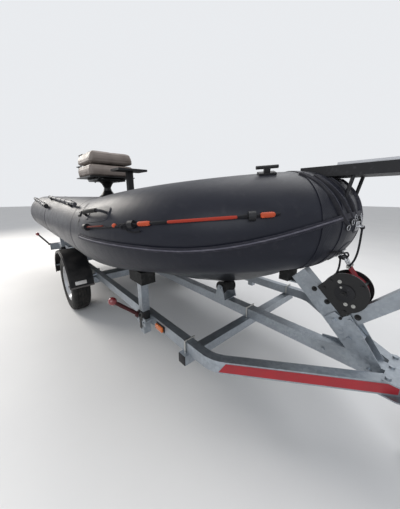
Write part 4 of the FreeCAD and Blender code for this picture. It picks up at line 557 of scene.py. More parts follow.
def rounded_box(bm, place, size, bevel=0.002, turn=Matrix.Identity(4), segments=2):
    """A block with rounded edges, placed by its middle."""
    verts = bmesh.ops.create_cube(bm, size=1.0)["verts"]
    matrix = Matrix.Translation(place) @ turn @ Matrix.Diagonal((*size, 1))
    bmesh.ops.transform(bm, matrix=matrix, verts=verts)
    edges = list({edge for vert in verts for edge in vert.link_edges})
    bmesh.ops.bevel(bm, geom=edges, offset=bevel, offset_type="OFFSET", segments=segments,
                    profile=0.5, affect="EDGES", material=-1, clamp_overlap=True)


def turned(bm, centre, axis, profile, steps=32):
    """Spin an outline of (distance along the axis, radius) into a closed form."""
    matrix = Matrix.Translation(centre) @ turn_to(axis)
    verts = [bm.verts.new(matrix @ Vector((radius, 0, along))) for along, radius in profile]
    edges = [bm.edges.new(pair) for pair in zip(verts, verts[1:])]
    bmesh.ops.spin(bm, geom=verts + edges, cent=centre, axis=axis, angle=math.tau, steps=steps,
                   use_merge=True, use_duplicate=False)
    bmesh.ops.remove_doubles(bm, verts=bm.verts, dist=0.00001)


def hex_bolt(bm, place, axis, across=0.008, height=0.006):
    """A washer, a six-sided head and the domed end of the thread."""
    washer = 0.0016
    # Start along the axis, radius at the start and at the end, depth, sides
    parts = ((0.0, across * 1.55, across * 1.5, washer, 16),
             (washer, across, across * 0.94, height, 6),
             (washer + height, across * 0.55, across * 0.42, height * 0.5, 12))
    for start, low, high, depth, sides in parts:
        matrix = Matrix.Translation(Vector(place) + axis * (start + depth / 2)) @ turn_to(axis)
        bmesh.ops.create_cone(bm, cap_ends=True, segments=sides, radius1=low, radius2=high,
                              depth=depth, matrix=matrix)


def between(points, share):
    """A place on a smooth line through points, at a share of the way along it."""
    last = len(points) - 1
    run = share * last
    index = min(int(run), last - 1)
    step = run - index
    a, b, c, d = (Vector(points[min(max(i, 0), last)]) for i in range(index - 1, index + 3))
    return 0.5 * (2 * b + (c - a) * step + (2 * a - 5 * b + 4 * c - d) * step ** 2
                  + (3 * b - a - 3 * c + d) * step ** 3)


# Buoyancy tubes

PLEAT_DEPTH = 0.0026
PLEAT_END_X = 0.25
SEAM_PLACES = (-1.915, -0.885, 0.150)
TUBE_SEGMENTS = 72
SIDE_RING_STEP = 0.0125
STERN_CAP_RADII = (0.012, 0.055)
ROUND_STEPS, CONE_STEPS = 6, 18


def tube_pleat(x, tilt):
    """How far the fabric puckers in or out towards the stern, where the cone gathers it."""
    fade = min(1.0, max(0.0, (PLEAT_END_X - x) / 1.6))
    streak = 0.8 * noise.noise(Vector((x * 13.0, tilt * 1.5, 0.0)))
    streak += 0.6 * noise.noise(Vector((x * 31.0, tilt * 2.6, 4.0)))
    for place in SEAM_PLACES:
        near = math.exp(-((x - place) / 0.09) ** 2)
        streak += 1.1 * near * noise.noise(Vector((x * 9.0, tilt * 9.0, 7.0 + place)))
    return PLEAT_DEPTH * fade * streak


def stern_profile():
    """The stern cap, its rounded edge and the swelling cone: distance forward, radius."""
    profile = [(0.0, STERN_CAP_RADII[1]), (0.0, STERN_END_RADIUS)]
    for step in range(1, ROUND_STEPS + 1):
        turn = math.pi / 2 * step / ROUND_STEPS
        profile.append((STERN_END_ROUND * (1 - math.cos(turn)),
                        STERN_END_RADIUS + STERN_END_ROUND * math.sin(turn)))
    shoulder = STERN_END_RADIUS + STERN_END_ROUND
    for step in range(1, CONE_STEPS + 1):
        share = step / CONE_STEPS
        swell = 0.006 * math.sin(math.pi * share)
        profile.append((STERN_END_ROUND + (STERN_CONE - STERN_END_ROUND) * share,
                        shoulder + (TUBE_RADIUS - shoulder) * share + swell))
    return profile


def side_rings(bm):
    """The starboard tube from its stern end to the nose, as rings drawn along its centre line."""
    centre = Vector((STERN_X, -TUBE_HALF_SPAN, TUBE_Z))
    x, radius = 0.0, STERN_CAP_RADII[0]
    edges = ring(bm, centre, X_AXIS, radius, TUBE_SEGMENTS)
    bmesh.ops.edgenet_fill(bm, edges=edges)
    for new_x, new_radius in stern_profile():
        here = centre + X_AXIS * x
        move = Matrix.Translation(X_AXIS * (new_x - x)) @ scaled_at(here, new_radius / radius)
        edges = drawn(bm, edges, move)
        x, radius = new_x, new_radius
    straight = RISE_X - (STERN_X + STERN_CONE)
    steps = round(straight / SIDE_RING_STEP)
    for _ in range(steps):
        edges = drawn(bm, edges, Matrix.Translation(X_AXIS * (straight / steps)))
    edges = swung(bm, edges, (RISE_X, -TUBE_HALF_SPAN, TUBE_Z + RISE_RADIUS), -Y_AXIS, RISE, 8)
    edges = swung(bm, edges, bow_point(0, BOW_RADIUS - TUBE_HALF_SPAN), BOW_NORMAL, BOW_TURN, 56)
    swung(bm, edges, bow_point(NOSE_CENTRE, 0), BOW_NORMAL, math.pi / 2 - BOW_TURN, 24)


def tubes():
    """Both side tubes and the nose as one skin, puckered towards the stern."""
    bm = bmesh.new()
    side_rings(bm)
    for vert in bm.verts:
        out = Vector((0, vert.co.y + TUBE_HALF_SPAN, vert.co.z - TUBE_Z))
        if vert.co.x < PLEAT_END_X and out.length > 0.12:
            vert.co += out.normalized() * tube_pleat(vert.co.x, math.atan2(out.z, -out.y))
    geometry = bm.verts[:] + bm.edges[:] + bm.faces[:]
    bmesh.ops.mirror(bm, geom=geometry, matrix=Matrix.Identity(4), merge_dist=0.00001, axis="Y")
    bmesh.ops.remove_doubles(bm, verts=bm.verts, dist=0.0001)
    piece("buoyancy_tubes", bm, "tube", "tube_fabric",
          replaces=("tube_starboard", "tube_port", "tube_bow"))


def seam_tapes():
    """Tapes glued over the joints of the side tubes' panels."""
    bm = bmesh.new()
    for place in SEAM_PLACES:
        for side in BOTH_SIDES:
            for vert in grid(bm, 6, 96):
                x, tilt = place + vert.co.x * 0.019, vert.co.y * 180
                lift = 0.0013 if abs(vert.co.x) < 0.9 else -0.0008
                reach = TUBE_RADIUS + tube_pleat(x, math.radians(tilt)) + lift
                vert.co = on_side(x, tilt, reach, side)
    bmesh.ops.remove_doubles(bm, verts=bm.verts, dist=0.0001)
    piece("seam_tapes", bm, "patch", "tube_fabric")


# Trim glued on the nose

STRAKE_LEVEL_END = 0.945
STRAKE_SWEEP = 0.960
STRAKE_REACH = 0.2165 + 0.0063
STRAP_LINES = (((-27, 62), (-24, 48), (-20, 27), (-16.5, 7), (-11, -5)),
               ((-20, 55), (-18, 42), (-14.5, 26), (-11.5, 12), (-7.5, 1)),
               ((-11, 50), (-9, 38), (-7.5, 25), (-6, 14), (-4.5, 5)))
STITCH_SHIFTS = (1.4, 1.4, 1.2)
RING_SPOTS = ((-10.5, -8), (10.5, -8), (-7, -3), (7, -3), (-4.2, 1.5), (4.2, 1.5))
EYE_TILT, RING_TILT = -42.0, -8.0
EYE_REACH = 0.026
EYE_WIRE = ((-0.020, 0.002), (-0.020, 0.014), (-0.014, 0.0255), (0.014, 0.0255), (0.020, 0.014),
            (0.020, 0.002))
HOOK_PIN = Vector((1.449, 0, 0.830))
SHACKLE_HALF = ((0.013, -0.002), (0.014, -0.018), (0.016, -0.032), (0.008, -0.048))
HITCH_TURNS = ((0.020, 0.000, 0.010), (0.024, 0.012, 0.004), (0.010, 0.014, 0.012),
               (-0.002, 0.002, 0.020), (-0.016, -0.012, 0.012), (-0.026, -0.004, 0.002),
               (-0.022, 0.010, 0.010), (-0.008, 0.008, 0.020), (0.008, -0.010, 0.018),
               (0.018, -0.012, 0.006), (0.004, -0.016, 0.004), (-0.018, -0.010, -0.002))
HITCH_TAIL = ((-9, -37, 0.008), (-13, -34, 0.006), (-17, -35.5, 0.006))


def out_of_nose(angle, tilt):
    """The direction straight out of the nose's skin."""
    return (on_nose(angle, tilt, 1) - on_nose(angle, tilt, 0)).normalized()


def glued_patch(bm, surface, half_u, half_v, thickness, square=5.0):
    """A sheet of fabric glued on a curved skin; surface gives a place from u, v and lift."""
    for vert in grid(bm, 30, 18):
        u, v = vert.co.x, vert.co.y
        longest = max(abs(u), abs(v))
        if longest > 0:
            pull = longest ** 0.4 / (abs(u) ** square + abs(v) ** square) ** (1 / square)
            u, v = u * pull * half_u, v * pull * half_v
        vert.co = surface(u, v, thickness if longest < 0.97 else -0.001)


def strip_on_nose(bm, line, half_width, thickness):
    """A strap that lies on the nose along angles and tilts, its edges tucked down."""
    for vert in grid(bm, 44, 8):
        share, across = (vert.co.x + 1) / 2, vert.co.y
        here, ahead, behind = (between(line, min(max(share + step, 0.0), 1.0))
                               for step in (0.0, 0.01, -0.01))
        lift = thickness * (1 - abs(across) ** 5) - 0.0012 * across ** 4
        place = on_nose(*here, TUBE_RADIUS + lift)
        out = (place - on_nose(*here, 0)).normalized()
        along = (on_nose(*ahead, TUBE_RADIUS) - on_nose(*behind, TUBE_RADIUS)).normalized()
        vert.co = place + along.cross(out) * (across * half_width)


def strake_height(x):
    if x <= STRAKE_LEVEL_END:
        return BOW_ORIGIN.z
    return BOW_ORIGIN.z + STRAKE_SWEEP - math.sqrt(STRAKE_SWEEP ** 2 - (x - STRAKE_LEVEL_END) ** 2)


def on_strake(where, angle):
    """The strake's crest at an angle round the bow or the nose: the tilt is found by halving."""
    low, high = -40.0, 20.0
    for _ in range(24):
        middle = (low + high) / 2
        place = where(angle, middle, STRAKE_REACH)
        if place.z > strake_height(place.x):
            high = middle
        else:
            low = middle
    return where(angle, low, STRAKE_REACH)


def strake_crests():
    """The pale bead that runs along the strake on each side of the bow."""
    line = [on_strake(on_bow, angle) for angle in range(2, 49, 3)]
    line += [on_strake(on_nose, angle) for angle in range(-36, -13, 4)]
    for side, name in SIDE_NAMES:
        points = [(x, y * -side, z) for x, y, z in line]
        rope("strake_crest_" + name, points, 0.0032, "crest", "strake")


def nose_straps():
    """Webbing that lashes the bow bracket down over the nose, to D-rings on its front."""
    straps, stitches = bmesh.new(), bmesh.new()
    for line, shift in zip(STRAP_LINES, STITCH_SHIFTS):
        for side in BOTH_SIDES:
            strip_on_nose(straps, [(angle * -side, tilt) for angle, tilt in line], 0.010, 0.0075)
            edge = [((angle + shift) * -side, tilt - 0.5) for angle, tilt in line]
            strip_on_nose(stitches, edge, 0.0022, 0.0088)
    piece("nose_straps", straps, "webbing_black", "fittings")
    piece("strap_stitching", stitches, "thread", "fittings")


def d_rings():
    """Steel D-rings on small plates where the straps end."""
    rings, plates = bmesh.new(), bmesh.new()
    for angle, tilt in RING_SPOTS:
        out = out_of_nose(angle, tilt)
        up = (on_nose(angle, tilt + 2, 0.22) - on_nose(angle, tilt - 2, 0.22)).normalized()
        turn = facing(up.cross(out), out)
        place = on_nose(angle, tilt, TUBE_RADIUS)
        rounded_box(plates, place + out * 0.003, (0.024, 0.011, 0.006), 0.002, turn)
        edges = ring(rings, place + out * 0.007 + up * 0.0105, turn @ X_AXIS, 0.0019, 8)
        swung(rings, edges, place + out * 0.007, out, math.tau * 0.999, 24)
    piece("d_rings", rings, "stainless", "stainless")
    piece("d_ring_plates", plates, "moulding", "fittings")


def on_eye(tilt):
    """The skin round a place on the nose's middle line, for a patch there."""
    def surface(u, v, lift):
        radius = NOSE_RADIUS + TUBE_RADIUS * math.cos(math.radians(tilt))
        return on_nose(math.degrees(u / radius), tilt + math.degrees(v / TUBE_RADIUS),
                       TUBE_RADIUS + lift)
    return surface


def bow_eyes():
    """The eye under the nose with the strap's shackle in it, and the painter's ring above it."""
    patches, plates, pin = bmesh.new(), bmesh.new(), bmesh.new()
    glued_patch(patches, on_eye(EYE_TILT), 0.060, 0.060, 0.0028, 2.4)
    glued_patch(patches, on_eye(RING_TILT), 0.033, 0.033, 0.0028, 2.2)
    piece("eye_patches", patches, "patch", "fittings", replaces=("bow_eye",))
    for name, tilt in (("low", EYE_TILT), ("high", RING_TILT)):
        out = out_of_nose(0, tilt)
        place = on_nose(0, tilt, TUBE_RADIUS)
        rounded_box(plates, place + out * 0.005, (0.052, 0.038, 0.005), 0.0022,
                    facing(Y_AXIS, out), 3)
        for across in (-0.020, 0.020):
            turned(plates, place + out * 0.0075 + Y_AXIS * across, out,
                   [(0, 0), (0, 0.006), (0.002, 0.005), (0.003, 0)], 14)
        wire = [place + Y_AXIS * y + out * z for y, z in EYE_WIRE]
        rope("eye_wire_" + name, wire, 0.004, "stainless", "stainless", 8)
    piece("eye_plates", plates, "stainless", "stainless", crease=40)
    way = (HOOK_PIN - on_nose(0, EYE_TILT, TUBE_RADIUS + EYE_REACH)).normalized()
    arch = [(-y, z) for y, z in SHACKLE_HALF] + list(reversed(SHACKLE_HALF))
    rope("shackle", [HOOK_PIN + Y_AXIS * y + way * z for y, z in arch], 0.0042, "stainless",
         "stainless", 8)
    turned(pin, HOOK_PIN - Y_AXIS * 0.030, Y_AXIS,
           [(0, 0), (0, 0.0065), (0.006, 0.0065), (0.006, 0.005), (0.054, 0.005), (0.054, 0.0075),
            (0.060, 0.0075), (0.060, 0)], 16)
    piece("shackle_pin", pin, "bright", "stainless", crease=40)


def eye_lashing():
    """Rope hitched round the low eye, with a short end that lies back along the nose."""
    out = out_of_nose(0, EYE_TILT)
    up = Y_AXIS.cross(out)
    place = on_nose(0, EYE_TILT, TUBE_RADIUS + 0.016)
    points = [place + Y_AXIS * y + up * v + out * w for y, v, w in HITCH_TURNS]
    points += [on_nose(angle, tilt, TUBE_RADIUS + lift) for angle, tilt, lift in HITCH_TAIL]
    rope("eye_hitch", points, 0.0036, "rope", "rope")


# Free ropes of the bow: listed points, and the shift of the knot at the lower end

PAINTER_POINTS = ((1.467, 0, 0.997), (1.469, -0.005, 0.962), (1.471, -0.012, 0.922),
                  (1.470, -0.018, 0.884), (1.463, -0.022, 0.854), (1.454, -0.022, 0.838))
EYE_ROPE_POINTS = ((1.416, -0.0285, 0.868), (1.419, -0.031, 0.842), (1.417, -0.031, 0.812),
                   (1.409, -0.026, 0.786), (1.3994, -0.019, 0.7636))
KNOT_POINTS = ((0, 0, 0.006), (0.007, 0.004, 0.001), (0.004, -0.006, -0.005), (-0.007, -0.003, 0.001),
               (-0.003, 0.007, 0.004), (0.006, 0.001, 0.006), (0.001, -0.007, 0.001), (-0.005, 0, -0.005),
               (0.002, 0.005, -0.007))
FREE_ROPES = (
    ("painter_rope", "painter", PAINTER_POINTS, 0.1637, "painter_knot", "painter_end", (-0.004, 0, -0.006)),
    ("strap_rope", "eye_rope", EYE_ROPE_POINTS, 0.1091, "strap_rope_knot", "strap_rope_end",
     (-0.003, 0, -0.004)),
)


def knot(name, place, shift=(0, 0, 0)):
    points = [Vector(place) + Vector(shift) + Vector(point) for point in KNOT_POINTS]
    return rope(name, points, 0.0036, "rope", "rope")


def bow_ropes():
    """The painter and the short rope at the eye, each with a knot at both ends."""
    for name, node, points, length, high_knot, low_knot, shift in FREE_ROPES:
        line = rope(name, points, 0.004, "rope", "rope", 8, (node,))
        knots = [knot(high_knot, points[0]), knot(low_knot, points[-1], shift)]


# Lifelines, their grips and the carrying handles

LINE_REACH = TUBE_RADIUS + 0.012
LINE_TILT = 11.0
RIBBED = [0.0062, 0.0092] + [0.0104, 0.0092] * 5 + [0.0092, 0.0062]
COLLAR = [0.005, 0.0085, 0.0095, 0.0085, 0.005]
SLEEVE = [0.0050, 0.0058] + [0.0062, 0.0059] * 16 + [0.0058, 0.0050]
THIN = [0.0049] + [0.0053, 0.0051] * 6 + [0.0049]
WHIPPING = [0.005, 0.0062, 0.0066, 0.0062, 0.0066, 0.0062, 0.005]
# Name, finish, slot, sides of the section, and per grip the degrees round the bow and the radii
LINE_GRIPS = (
    ("line_grips_", "grip", "grip", 12,
     ((24.0, 26.6, RIBBED), (45.0, 47.2, RIBBED), (17.6, 18.5, COLLAR))),
    ("line_sleeve_", "sleeve", "grip", 10, ((30.0, 41.5, SLEEVE),)),
    ("line_rear_", "line_red", "rope", 10, ((8.2, 14.5, THIN),)),
    ("line_whipping_", "rope", "rope", 12, ((26.7, 29.9, WHIPPING), (41.6, 44.9, WHIPPING))),
)
# Name, radius, and degrees round the bow, degrees up and lift of each point
LINE_ENDS = (
    ("line_hitch_", 0.0042,
     ((19.2, 11, 0.013), (20.2, 13, 0.012), (21.0, 9, 0.008), (20.4, 6.5, 0.007), (19.8, 8.5, 0.017),
      (21.0, 12, 0.018), (22.6, 12.5, 0.010), (23.4, 9.5, 0.008), (22.4, 7.0, 0.008),
      (21.6, 9.5, 0.016), (22.4, 11, 0.019), (23.6, 11, 0.013))),
    ("line_tail_", 0.0034,
     ((21.4, 9, 0.012), (21.0, 6, 0.009), (21.6, 3.6, 0.0065), (22.9, 2.6, 0.0065),
      (24.2, 3.6, 0.0065))),
)


def line_tilt(angle):
    """The line droops a little between its holders."""
    droop = 1.4 * math.sin(math.radians((angle - 8) * 12)) if angle < 22 else 0.0
    return LINE_TILT - abs(droop)


def swept_grip(bm, first, last, radii, side, sides):
    """A moulded grip on the lifeline, its radius from a short list along its length."""
    step = (last - first) / (len(radii) - 1)
    start = math.radians(first)
    along = BOW_ALONG * math.cos(start) - Y_AXIS * side * math.sin(start)
    edges = ring(bm, on_bow(first, LINE_TILT, LINE_REACH, side), along, radii[0], sides)
    bmesh.ops.edgenet_fill(bm, edges=edges)
    pivot = bow_point(0, side * (TUBE_HALF_SPAN - BOW_RADIUS))
    for index, (before, radius) in enumerate(zip(radii, radii[1:])):
        edges = swung(bm, edges, pivot, BOW_NORMAL, math.radians(-side * step), 1)
        centre = on_bow(first + step * (index + 1), LINE_TILT, LINE_REACH, side)
        bmesh.ops.transform(bm, matrix=scaled_at(centre, radius / before), verts=ends(edges))
    bmesh.ops.edgenet_fill(bm, edges=edges)


def lifelines():
    """The line round each side of the bow, with its grips, sleeve, wrappings and loose ends."""
    for side, name in SIDE_NAMES:
        starboard = side == STARBOARD
        points = [on_bow(angle, line_tilt(angle), LINE_REACH, side) for angle in range(6, 49, 2)]
        rope("lifeline_" + name, points, 0.0048, "rope", "rope", 8, ("lifelines",) if starboard else ())
        for grips, finish, slot, sides, spans in LINE_GRIPS:
            bm = bmesh.new()
            for first, last, radii in spans:
                swept_grip(bm, first, last, radii, side, sides)
            piece(grips + name, bm, finish, slot,
                  replaces=("grips",) if starboard and finish == "grip" else ())
        for end, radius, places in LINE_ENDS:
            points = [on_bow(angle, tilt, TUBE_RADIUS + lift, side) for angle, tilt, lift in places]
            rope(end + name, points, radius, "rope", "rope")


HANDLE_ANGLE, HANDLE_TILT = 10.0, 28.0
HANDLE_FEET = (-0.094, 0.094)
# Name, radius, finish, round steps, and the way along and the lift of each point
HANDLE_PARTS = (
    ("handle_loop_", 0.0066, "webbing_black", 8,
     ((-0.100, 0.001), (-0.094, 0.014), (-0.082, 0.028), (-0.052, 0.034), (0, 0.036),
      (0.052, 0.034), (0.082, 0.028), (0.094, 0.014), (0.100, 0.001))),
    ("handle_grip_", 0.0098, "rubber", 10,
     ((-0.060, 0.0335), (-0.030, 0.0352), (0, 0.036), (0.030, 0.0352), (0.060, 0.0335))),
)
TIE_LINE = ((0.300, 54.0), (0.315, 40.0), (0.330, 27.0), (0.345, 14.0))
BUCKLE_X, BUCKLE_TILT, BUCKLE_LIFT = 0.325, 32.0, 0.004
VALVE_X = -1.755


def carry_handles():
    """Webbing handles with a moulded grip, on patches on the bow's curve."""
    around = BOW_RADIUS + TUBE_RADIUS * math.cos(math.radians(HANDLE_TILT))
    for side, name in SIDE_NAMES:
        def skin(u, v, lift):
            return on_bow(HANDLE_ANGLE + math.degrees(u / around),
                          HANDLE_TILT + math.degrees(v / TUBE_RADIUS), TUBE_RADIUS + lift, side)
        bm = bmesh.new()
        glued_patch(bm, skin, 0.124, 0.042, 0.0018, 3.4)
        for foot in HANDLE_FEET:
            glued_patch(bm, lambda u, v, lift: skin(foot + u, v, lift + 0.0024), 0.022, 0.026, 0.002)
        piece("handle_patches_" + name, bm, "patch", "fittings",
              replaces=("carry_handles",) if side == STARBOARD else ())
        for part, radius, finish, round_steps, places in HANDLE_PARTS:
            points = [skin(u, 0, lift) for u, lift in places]
            rope(part + name, points, radius, finish, "fittings", round_steps)


def side_tie():
    """A pale webbing tie with a dark buckle, on the starboard tube behind the handle."""
    strap, buckle = bmesh.new(), bmesh.new()
    for vert in grid(strap, 30, 6):
        x, tilt = between(TIE_LINE, (vert.co.x + 1) / 2)
        lift = 0.0030 * (1 - abs(vert.co.y) ** 5) - 0.0006
        vert.co = on_curve(x + vert.co.y * 0.008, tilt + vert.co.y * 0.3, lift)
    piece("side_tie", strap, "webbing_pale", "fittings")
    place = on_curve(BUCKLE_X, BUCKLE_TILT, BUCKLE_LIFT)
    out = (on_curve(BUCKLE_X, BUCKLE_TILT, 0.1) - place).normalized()
    turn = facing(on_curve(BUCKLE_X + 0.003, BUCKLE_TILT - 3, BUCKLE_LIFT) - place, out)
    rounded_box(buckle, place, (0.030, 0.026, 0.008), 0.002, turn)
    for shift in (-0.009, 0.009):
        rounded_box(buckle, place + turn @ Vector((shift, 0, 0.004)), (0.004, 0.026, 0.004), 0.001, turn)
    piece("tie_buckle", buckle, "moulding", "fittings")


def valve_caps():
    """Round caps over the inflation valves, with six grip lugs each."""
    bm = bmesh.new()
    for side in BOTH_SIDES:
        outward = Vector((0, -side * 0.5, math.sqrt(0.75)))
        lug = outward.orthogonal()
        place = Vector((VALVE_X, side * TUBE_HALF_SPAN, TUBE_Z)) + outward * (TUBE_RADIUS + 0.009)
        turned(bm, place, outward, [(0, 0), (0, 0.031), (0.003, 0.030), (0.005, 0.026), (0.0052, 0.012),
                                    (0.009, 0.010), (0.011, 0.007), (0.011, 0)], 28)
        for index in range(6):
            turn = Matrix.Rotation(math.tau / 6 * index, 4, outward)
            rounded_box(bm, place + turn @ (lug.normalized() * 0.021) + outward * 0.006,
                        (0.004, 0.004, 0.004), 0.001, facing(lug, outward))
    piece("valve_caps", bm, "moulding", "fittings", crease=35)


# Seat

PAD_MARGIN = 0.006
PAD_VOXEL = 0.0075
PAD_SWELL = 0.007
CLOTH_FRAMES = 20
SHELL_Z, SLIDE_YS, SLIDE_Z, SLIDE_BOLT_Z = 1.262, (-0.105, 0.105), 1.271, 1.249
SLIDE_BOLTS = ((-0.11, -0.07), (-0.11, 0.07), (0.11, -0.07), (0.11, 0.07))


def evaluated(obj):
    """The mesh of an object with its modifiers; the object itself goes."""
    mesh = bpy.data.meshes.new_from_object(obj.evaluated_get(bpy.context.evaluated_depsgraph_get()))
    bpy.data.objects.remove(obj)
    return mesh


def swollen(bm):
    """Inflate a closed form a little with cloth, no point moving further than the swell."""
    block = linked("pad_block", mesh_of("pad_block", bm))
    remesh = block.modifiers.new("remesh", "REMESH")
    remesh.mode = "VOXEL"
    remesh.voxel_size = PAD_VOXEL
    fine = evaluated(block)
    start = [vert.co.copy() for vert in fine.vertices]
    pad = linked("pad_cloth", fine)
    settings = pad.modifiers.new("cloth", "CLOTH").settings
    settings.use_pressure = True
    settings.uniform_pressure_force = 4.0
    settings.effector_weights.gravity = 0.0
    settings.quality = 5
    for number in range(1, CLOTH_FRAMES + 1):
        bpy.context.scene.frame_set(number)
    fine = evaluated(pad)
    bpy.context.scene.frame_set(1)
    for vert, before in zip(fine.vertices, start):
        move = vert.co - before
        if move.length > PAD_SWELL:
            vert.co = before + move.normalized() * PAD_SWELL
    grown = bmesh.new()
    grown.from_mesh(fine)
    bpy.data.meshes.remove(fine)
    return grown


def dent(distance, width):
    """Depth share of a sewn channel at a distance from its line."""
    return math.exp(-(distance / width) ** 2)


def seat_pad(name, node, body, narrowing, channels):
    """A crowned vinyl pad: a smaller block swollen by cloth, then its seams and channels."""
    low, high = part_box(node)
    middle, size = (low + high) / 2, high - low
    bm = bmesh.new()
    rounded_box(bm, middle, tuple(s - 2 * PAD_MARGIN for s in size), 0.026, segments=4)
    for vert in bm.verts:
        rise = (vert.co.z - low.z) / size.z
        vert.co.y = middle.y + (vert.co.y - middle.y) * (1 - narrowing * rise)
        u, v = (vert.co.x - middle.x) / size.x, (vert.co.y - middle.y) / size.y
        corner = max(0.0, abs(u) + abs(v) - 0.72)
        vert.co.x -= math.copysign(corner * 0.20 * size.x, u)
        vert.co.y -= math.copysign(corner * 0.20 * size.y, v)
    grown = swollen(bm)
    for vert in grown.verts:
        p = vert.co
        face = abs(p.z - middle.z) / (size.z / 2)
        if face > 0.55:
            for place in channels:
                p.z -= math.copysign(0.0052 * dent(p.x - place, 0.008), p.z - middle.z)
        if face < 0.75:
            seam = dent(p.z - (middle.z + size.z * 0.22), 0.0045)
            seam += dent(p.z - (middle.z - size.z * 0.22), 0.0045)
            p -= Vector((p.x - middle.x, p.y - middle.y, 0)).normalized() * (0.0032 * seam)
    made = piece(name, grown, "vinyl", "seat_vinyl", body=body, replaces=(node,))
    smooth = made.modifiers.new("subdivision", "SUBSURF")
    smooth.levels = 1
    smooth.render_levels = 1


def seat():
    """The two pads, and the shell under the cushion with its slides and lever."""
    seat_pad("seat_pad", "seat_cushion", "seat", 0.02, (-0.585, -0.425))
    seat_pad("back_pad", "seat_back", "seat_backrest", 0.17, (-0.60, -0.41))
    low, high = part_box("seat_cushion")
    middle = (low + high) / 2
    bm = bmesh.new()
    rounded_box(bm, (middle.x, middle.y, SHELL_Z), (0.27, 0.25, 0.026), 0.006, segments=3)
    for y in SLIDE_YS:
        rounded_box(bm, (middle.x, middle.y + y, SLIDE_Z), (0.33, 0.030, 0.010), 0.002)
    rounded_box(bm, (middle.x + 0.16, middle.y - 0.10, SHELL_Z), (0.09, 0.014, 0.008), 0.003)
    for x, y in SLIDE_BOLTS:
        hex_bolt(bm, (middle.x + x, middle.y + y, SLIDE_BOLT_Z), -Z_AXIS, 0.006, 0.004)
    piece("seat_slides", bm, "paint", "black_metal", body="seat", crease=35)


# Winch and post

POST_FOOT = Vector((1.525, 0, 0.495))
POST_ALONG = Vector((-0.7367, 0, 0.6762))
POST_NORMAL = Vector((0.6762, 0, 0.7367))
# Along the post and above it; the last number of a bolt is its reach to the side
WINCH_HUB = (0.200, 0.118)
WINCH_NUTS = ((0.250, 0.135), (0.228, 0.125), (0.160, 0.090), (0.140, 0.110))
THROUGH_BOLTS = ((0.118, 0.030, 0.0315), (0.201, 0.024, 0.0252), (0.277, 0.015, 0.0252))
STARBOARD_BOLTS = ((0.092, 0.088), (0.092, 0.280), (0.040, 0.010))
WINCH_PLATE_REACH, POST_REACH = 0.0392, 0.0252
HUB_DISC = [(0, 0), (0, 0.036), (0.001, 0.038), (0.0035, 0.038), (0.0045, 0.034), (0.0045, 0.018),
            (0.006, 0.016), (0.006, 0)]
HUB_TEETH = 18
SPOOL_CENTRE = Vector((1.4574, 0, 0.7172))
SPOOL_RADIUS, STRAP_TURNS, STRAP_STEP, STRAP_HALF_WIDTH = 0.026, 12, 0.0042, 0.0262
# Across the strap's edge, and how far out of the turn's radius
STRAP_SECTION = ((0.0006, -0.0016), (0, 0), (0, 0.0012), (0.0006, 0.0024), (0.0518, 0.0024),
                 (0.0524, 0.0012), (0.0524, 0), (0.0518, -0.0016))
CRANK_GRIP = [(0, 0.0142), (0.004, 0.0162), (0.020, 0.0152), (0.045, 0.0168), (0.070, 0.0152),
              (0.085, 0.0162), (0.0905, 0.0142)]


def post_point(along, above, across=0.0):
    return POST_FOOT + POST_ALONG * along + POST_NORMAL * above + Y_AXIS * across


def winch_trim():
    """Bright nuts on the winch's plates, its ratchet wheel, strap and grip, and the post's bolts."""
    nuts, bolts, disc, strap, grip = (bmesh.new() for _ in range(5))
    for side in BOTH_SIDES:
        for along, above in WINCH_NUTS:
            hex_bolt(nuts, post_point(along, above, side * WINCH_PLATE_REACH), Y_AXIS * side, 0.0052, 0.005)
    piece("winch_nuts", nuts, "bright", "stainless", crease=35)
    hex_bolt(bolts, post_point(*WINCH_HUB, -0.044), -Y_AXIS, 0.012, 0.009)
    for along, above, reach in THROUGH_BOLTS:
        for side in BOTH_SIDES:
            hex_bolt(bolts, post_point(along, above, side * reach), Y_AXIS * side, 0.0082, 0.006)
    for along, above in STARBOARD_BOLTS:
        hex_bolt(bolts, post_point(along, above, -POST_REACH), -Y_AXIS, 0.0085, 0.006)
    piece("post_bolts", bolts, "paint", "black_metal", crease=35)
    hub = post_point(*WINCH_HUB, -0.0400)
    turned(disc, hub, -Y_AXIS, HUB_DISC, 36)
    for vert in disc.verts:
        out = vert.co - hub
        radius = math.hypot(out.x, out.z)
        if radius > 0.035:
            tooth = math.sin(math.atan2(out.z, out.x) * HUB_TEETH) * 0.0014
            vert.co += Vector((out.x, 0, out.z)) / radius * tooth
    piece("winch_hub_disc", disc, "moulding", "black_metal", crease=35)
    for index in range(STRAP_TURNS):
        radius = SPOOL_RADIUS + index * STRAP_STEP
        turned(strap, SPOOL_CENTRE - Y_AXIS * STRAP_HALF_WIDTH, Y_AXIS,
               [(across, radius + rise) for across, rise in STRAP_SECTION], 48)
    piece("strap_turns", strap, "webbing", "strap")
    turned(grip, post_point(*WINCH_HUB, 0.058) + Vector((0, 0.004, -0.190)), Y_AXIS, CRANK_GRIP, 24)
    piece("crank_grip", grip, "rubber", "rubber")


# Frame

FRONT_ANGLE = math.radians(38.8)
FILM_START = (1.1793, 0.4814, 0.410)
FILM_LENGTH, FILM_HALF_HEIGHT = 0.655, 0.0225
MEMBER_XS, MEMBER_END, MEMBER_Z = (-1.955, -1.265, -0.451, 0.962), 0.5435, 0.355
# Clamps round the support posts, each with a bolt and a short strap outside
CLAMP_XS, CLAMP_Y, CLAMP_Z = (-1.655, 0.595), 0.5465, 0.442
CLAMP_FACE_Y, STRAP_Y, STRAP_Z = 0.5725, 0.5722, 0.388
DRAWBAR_CAP = (-0.4915, 0, 0.410)


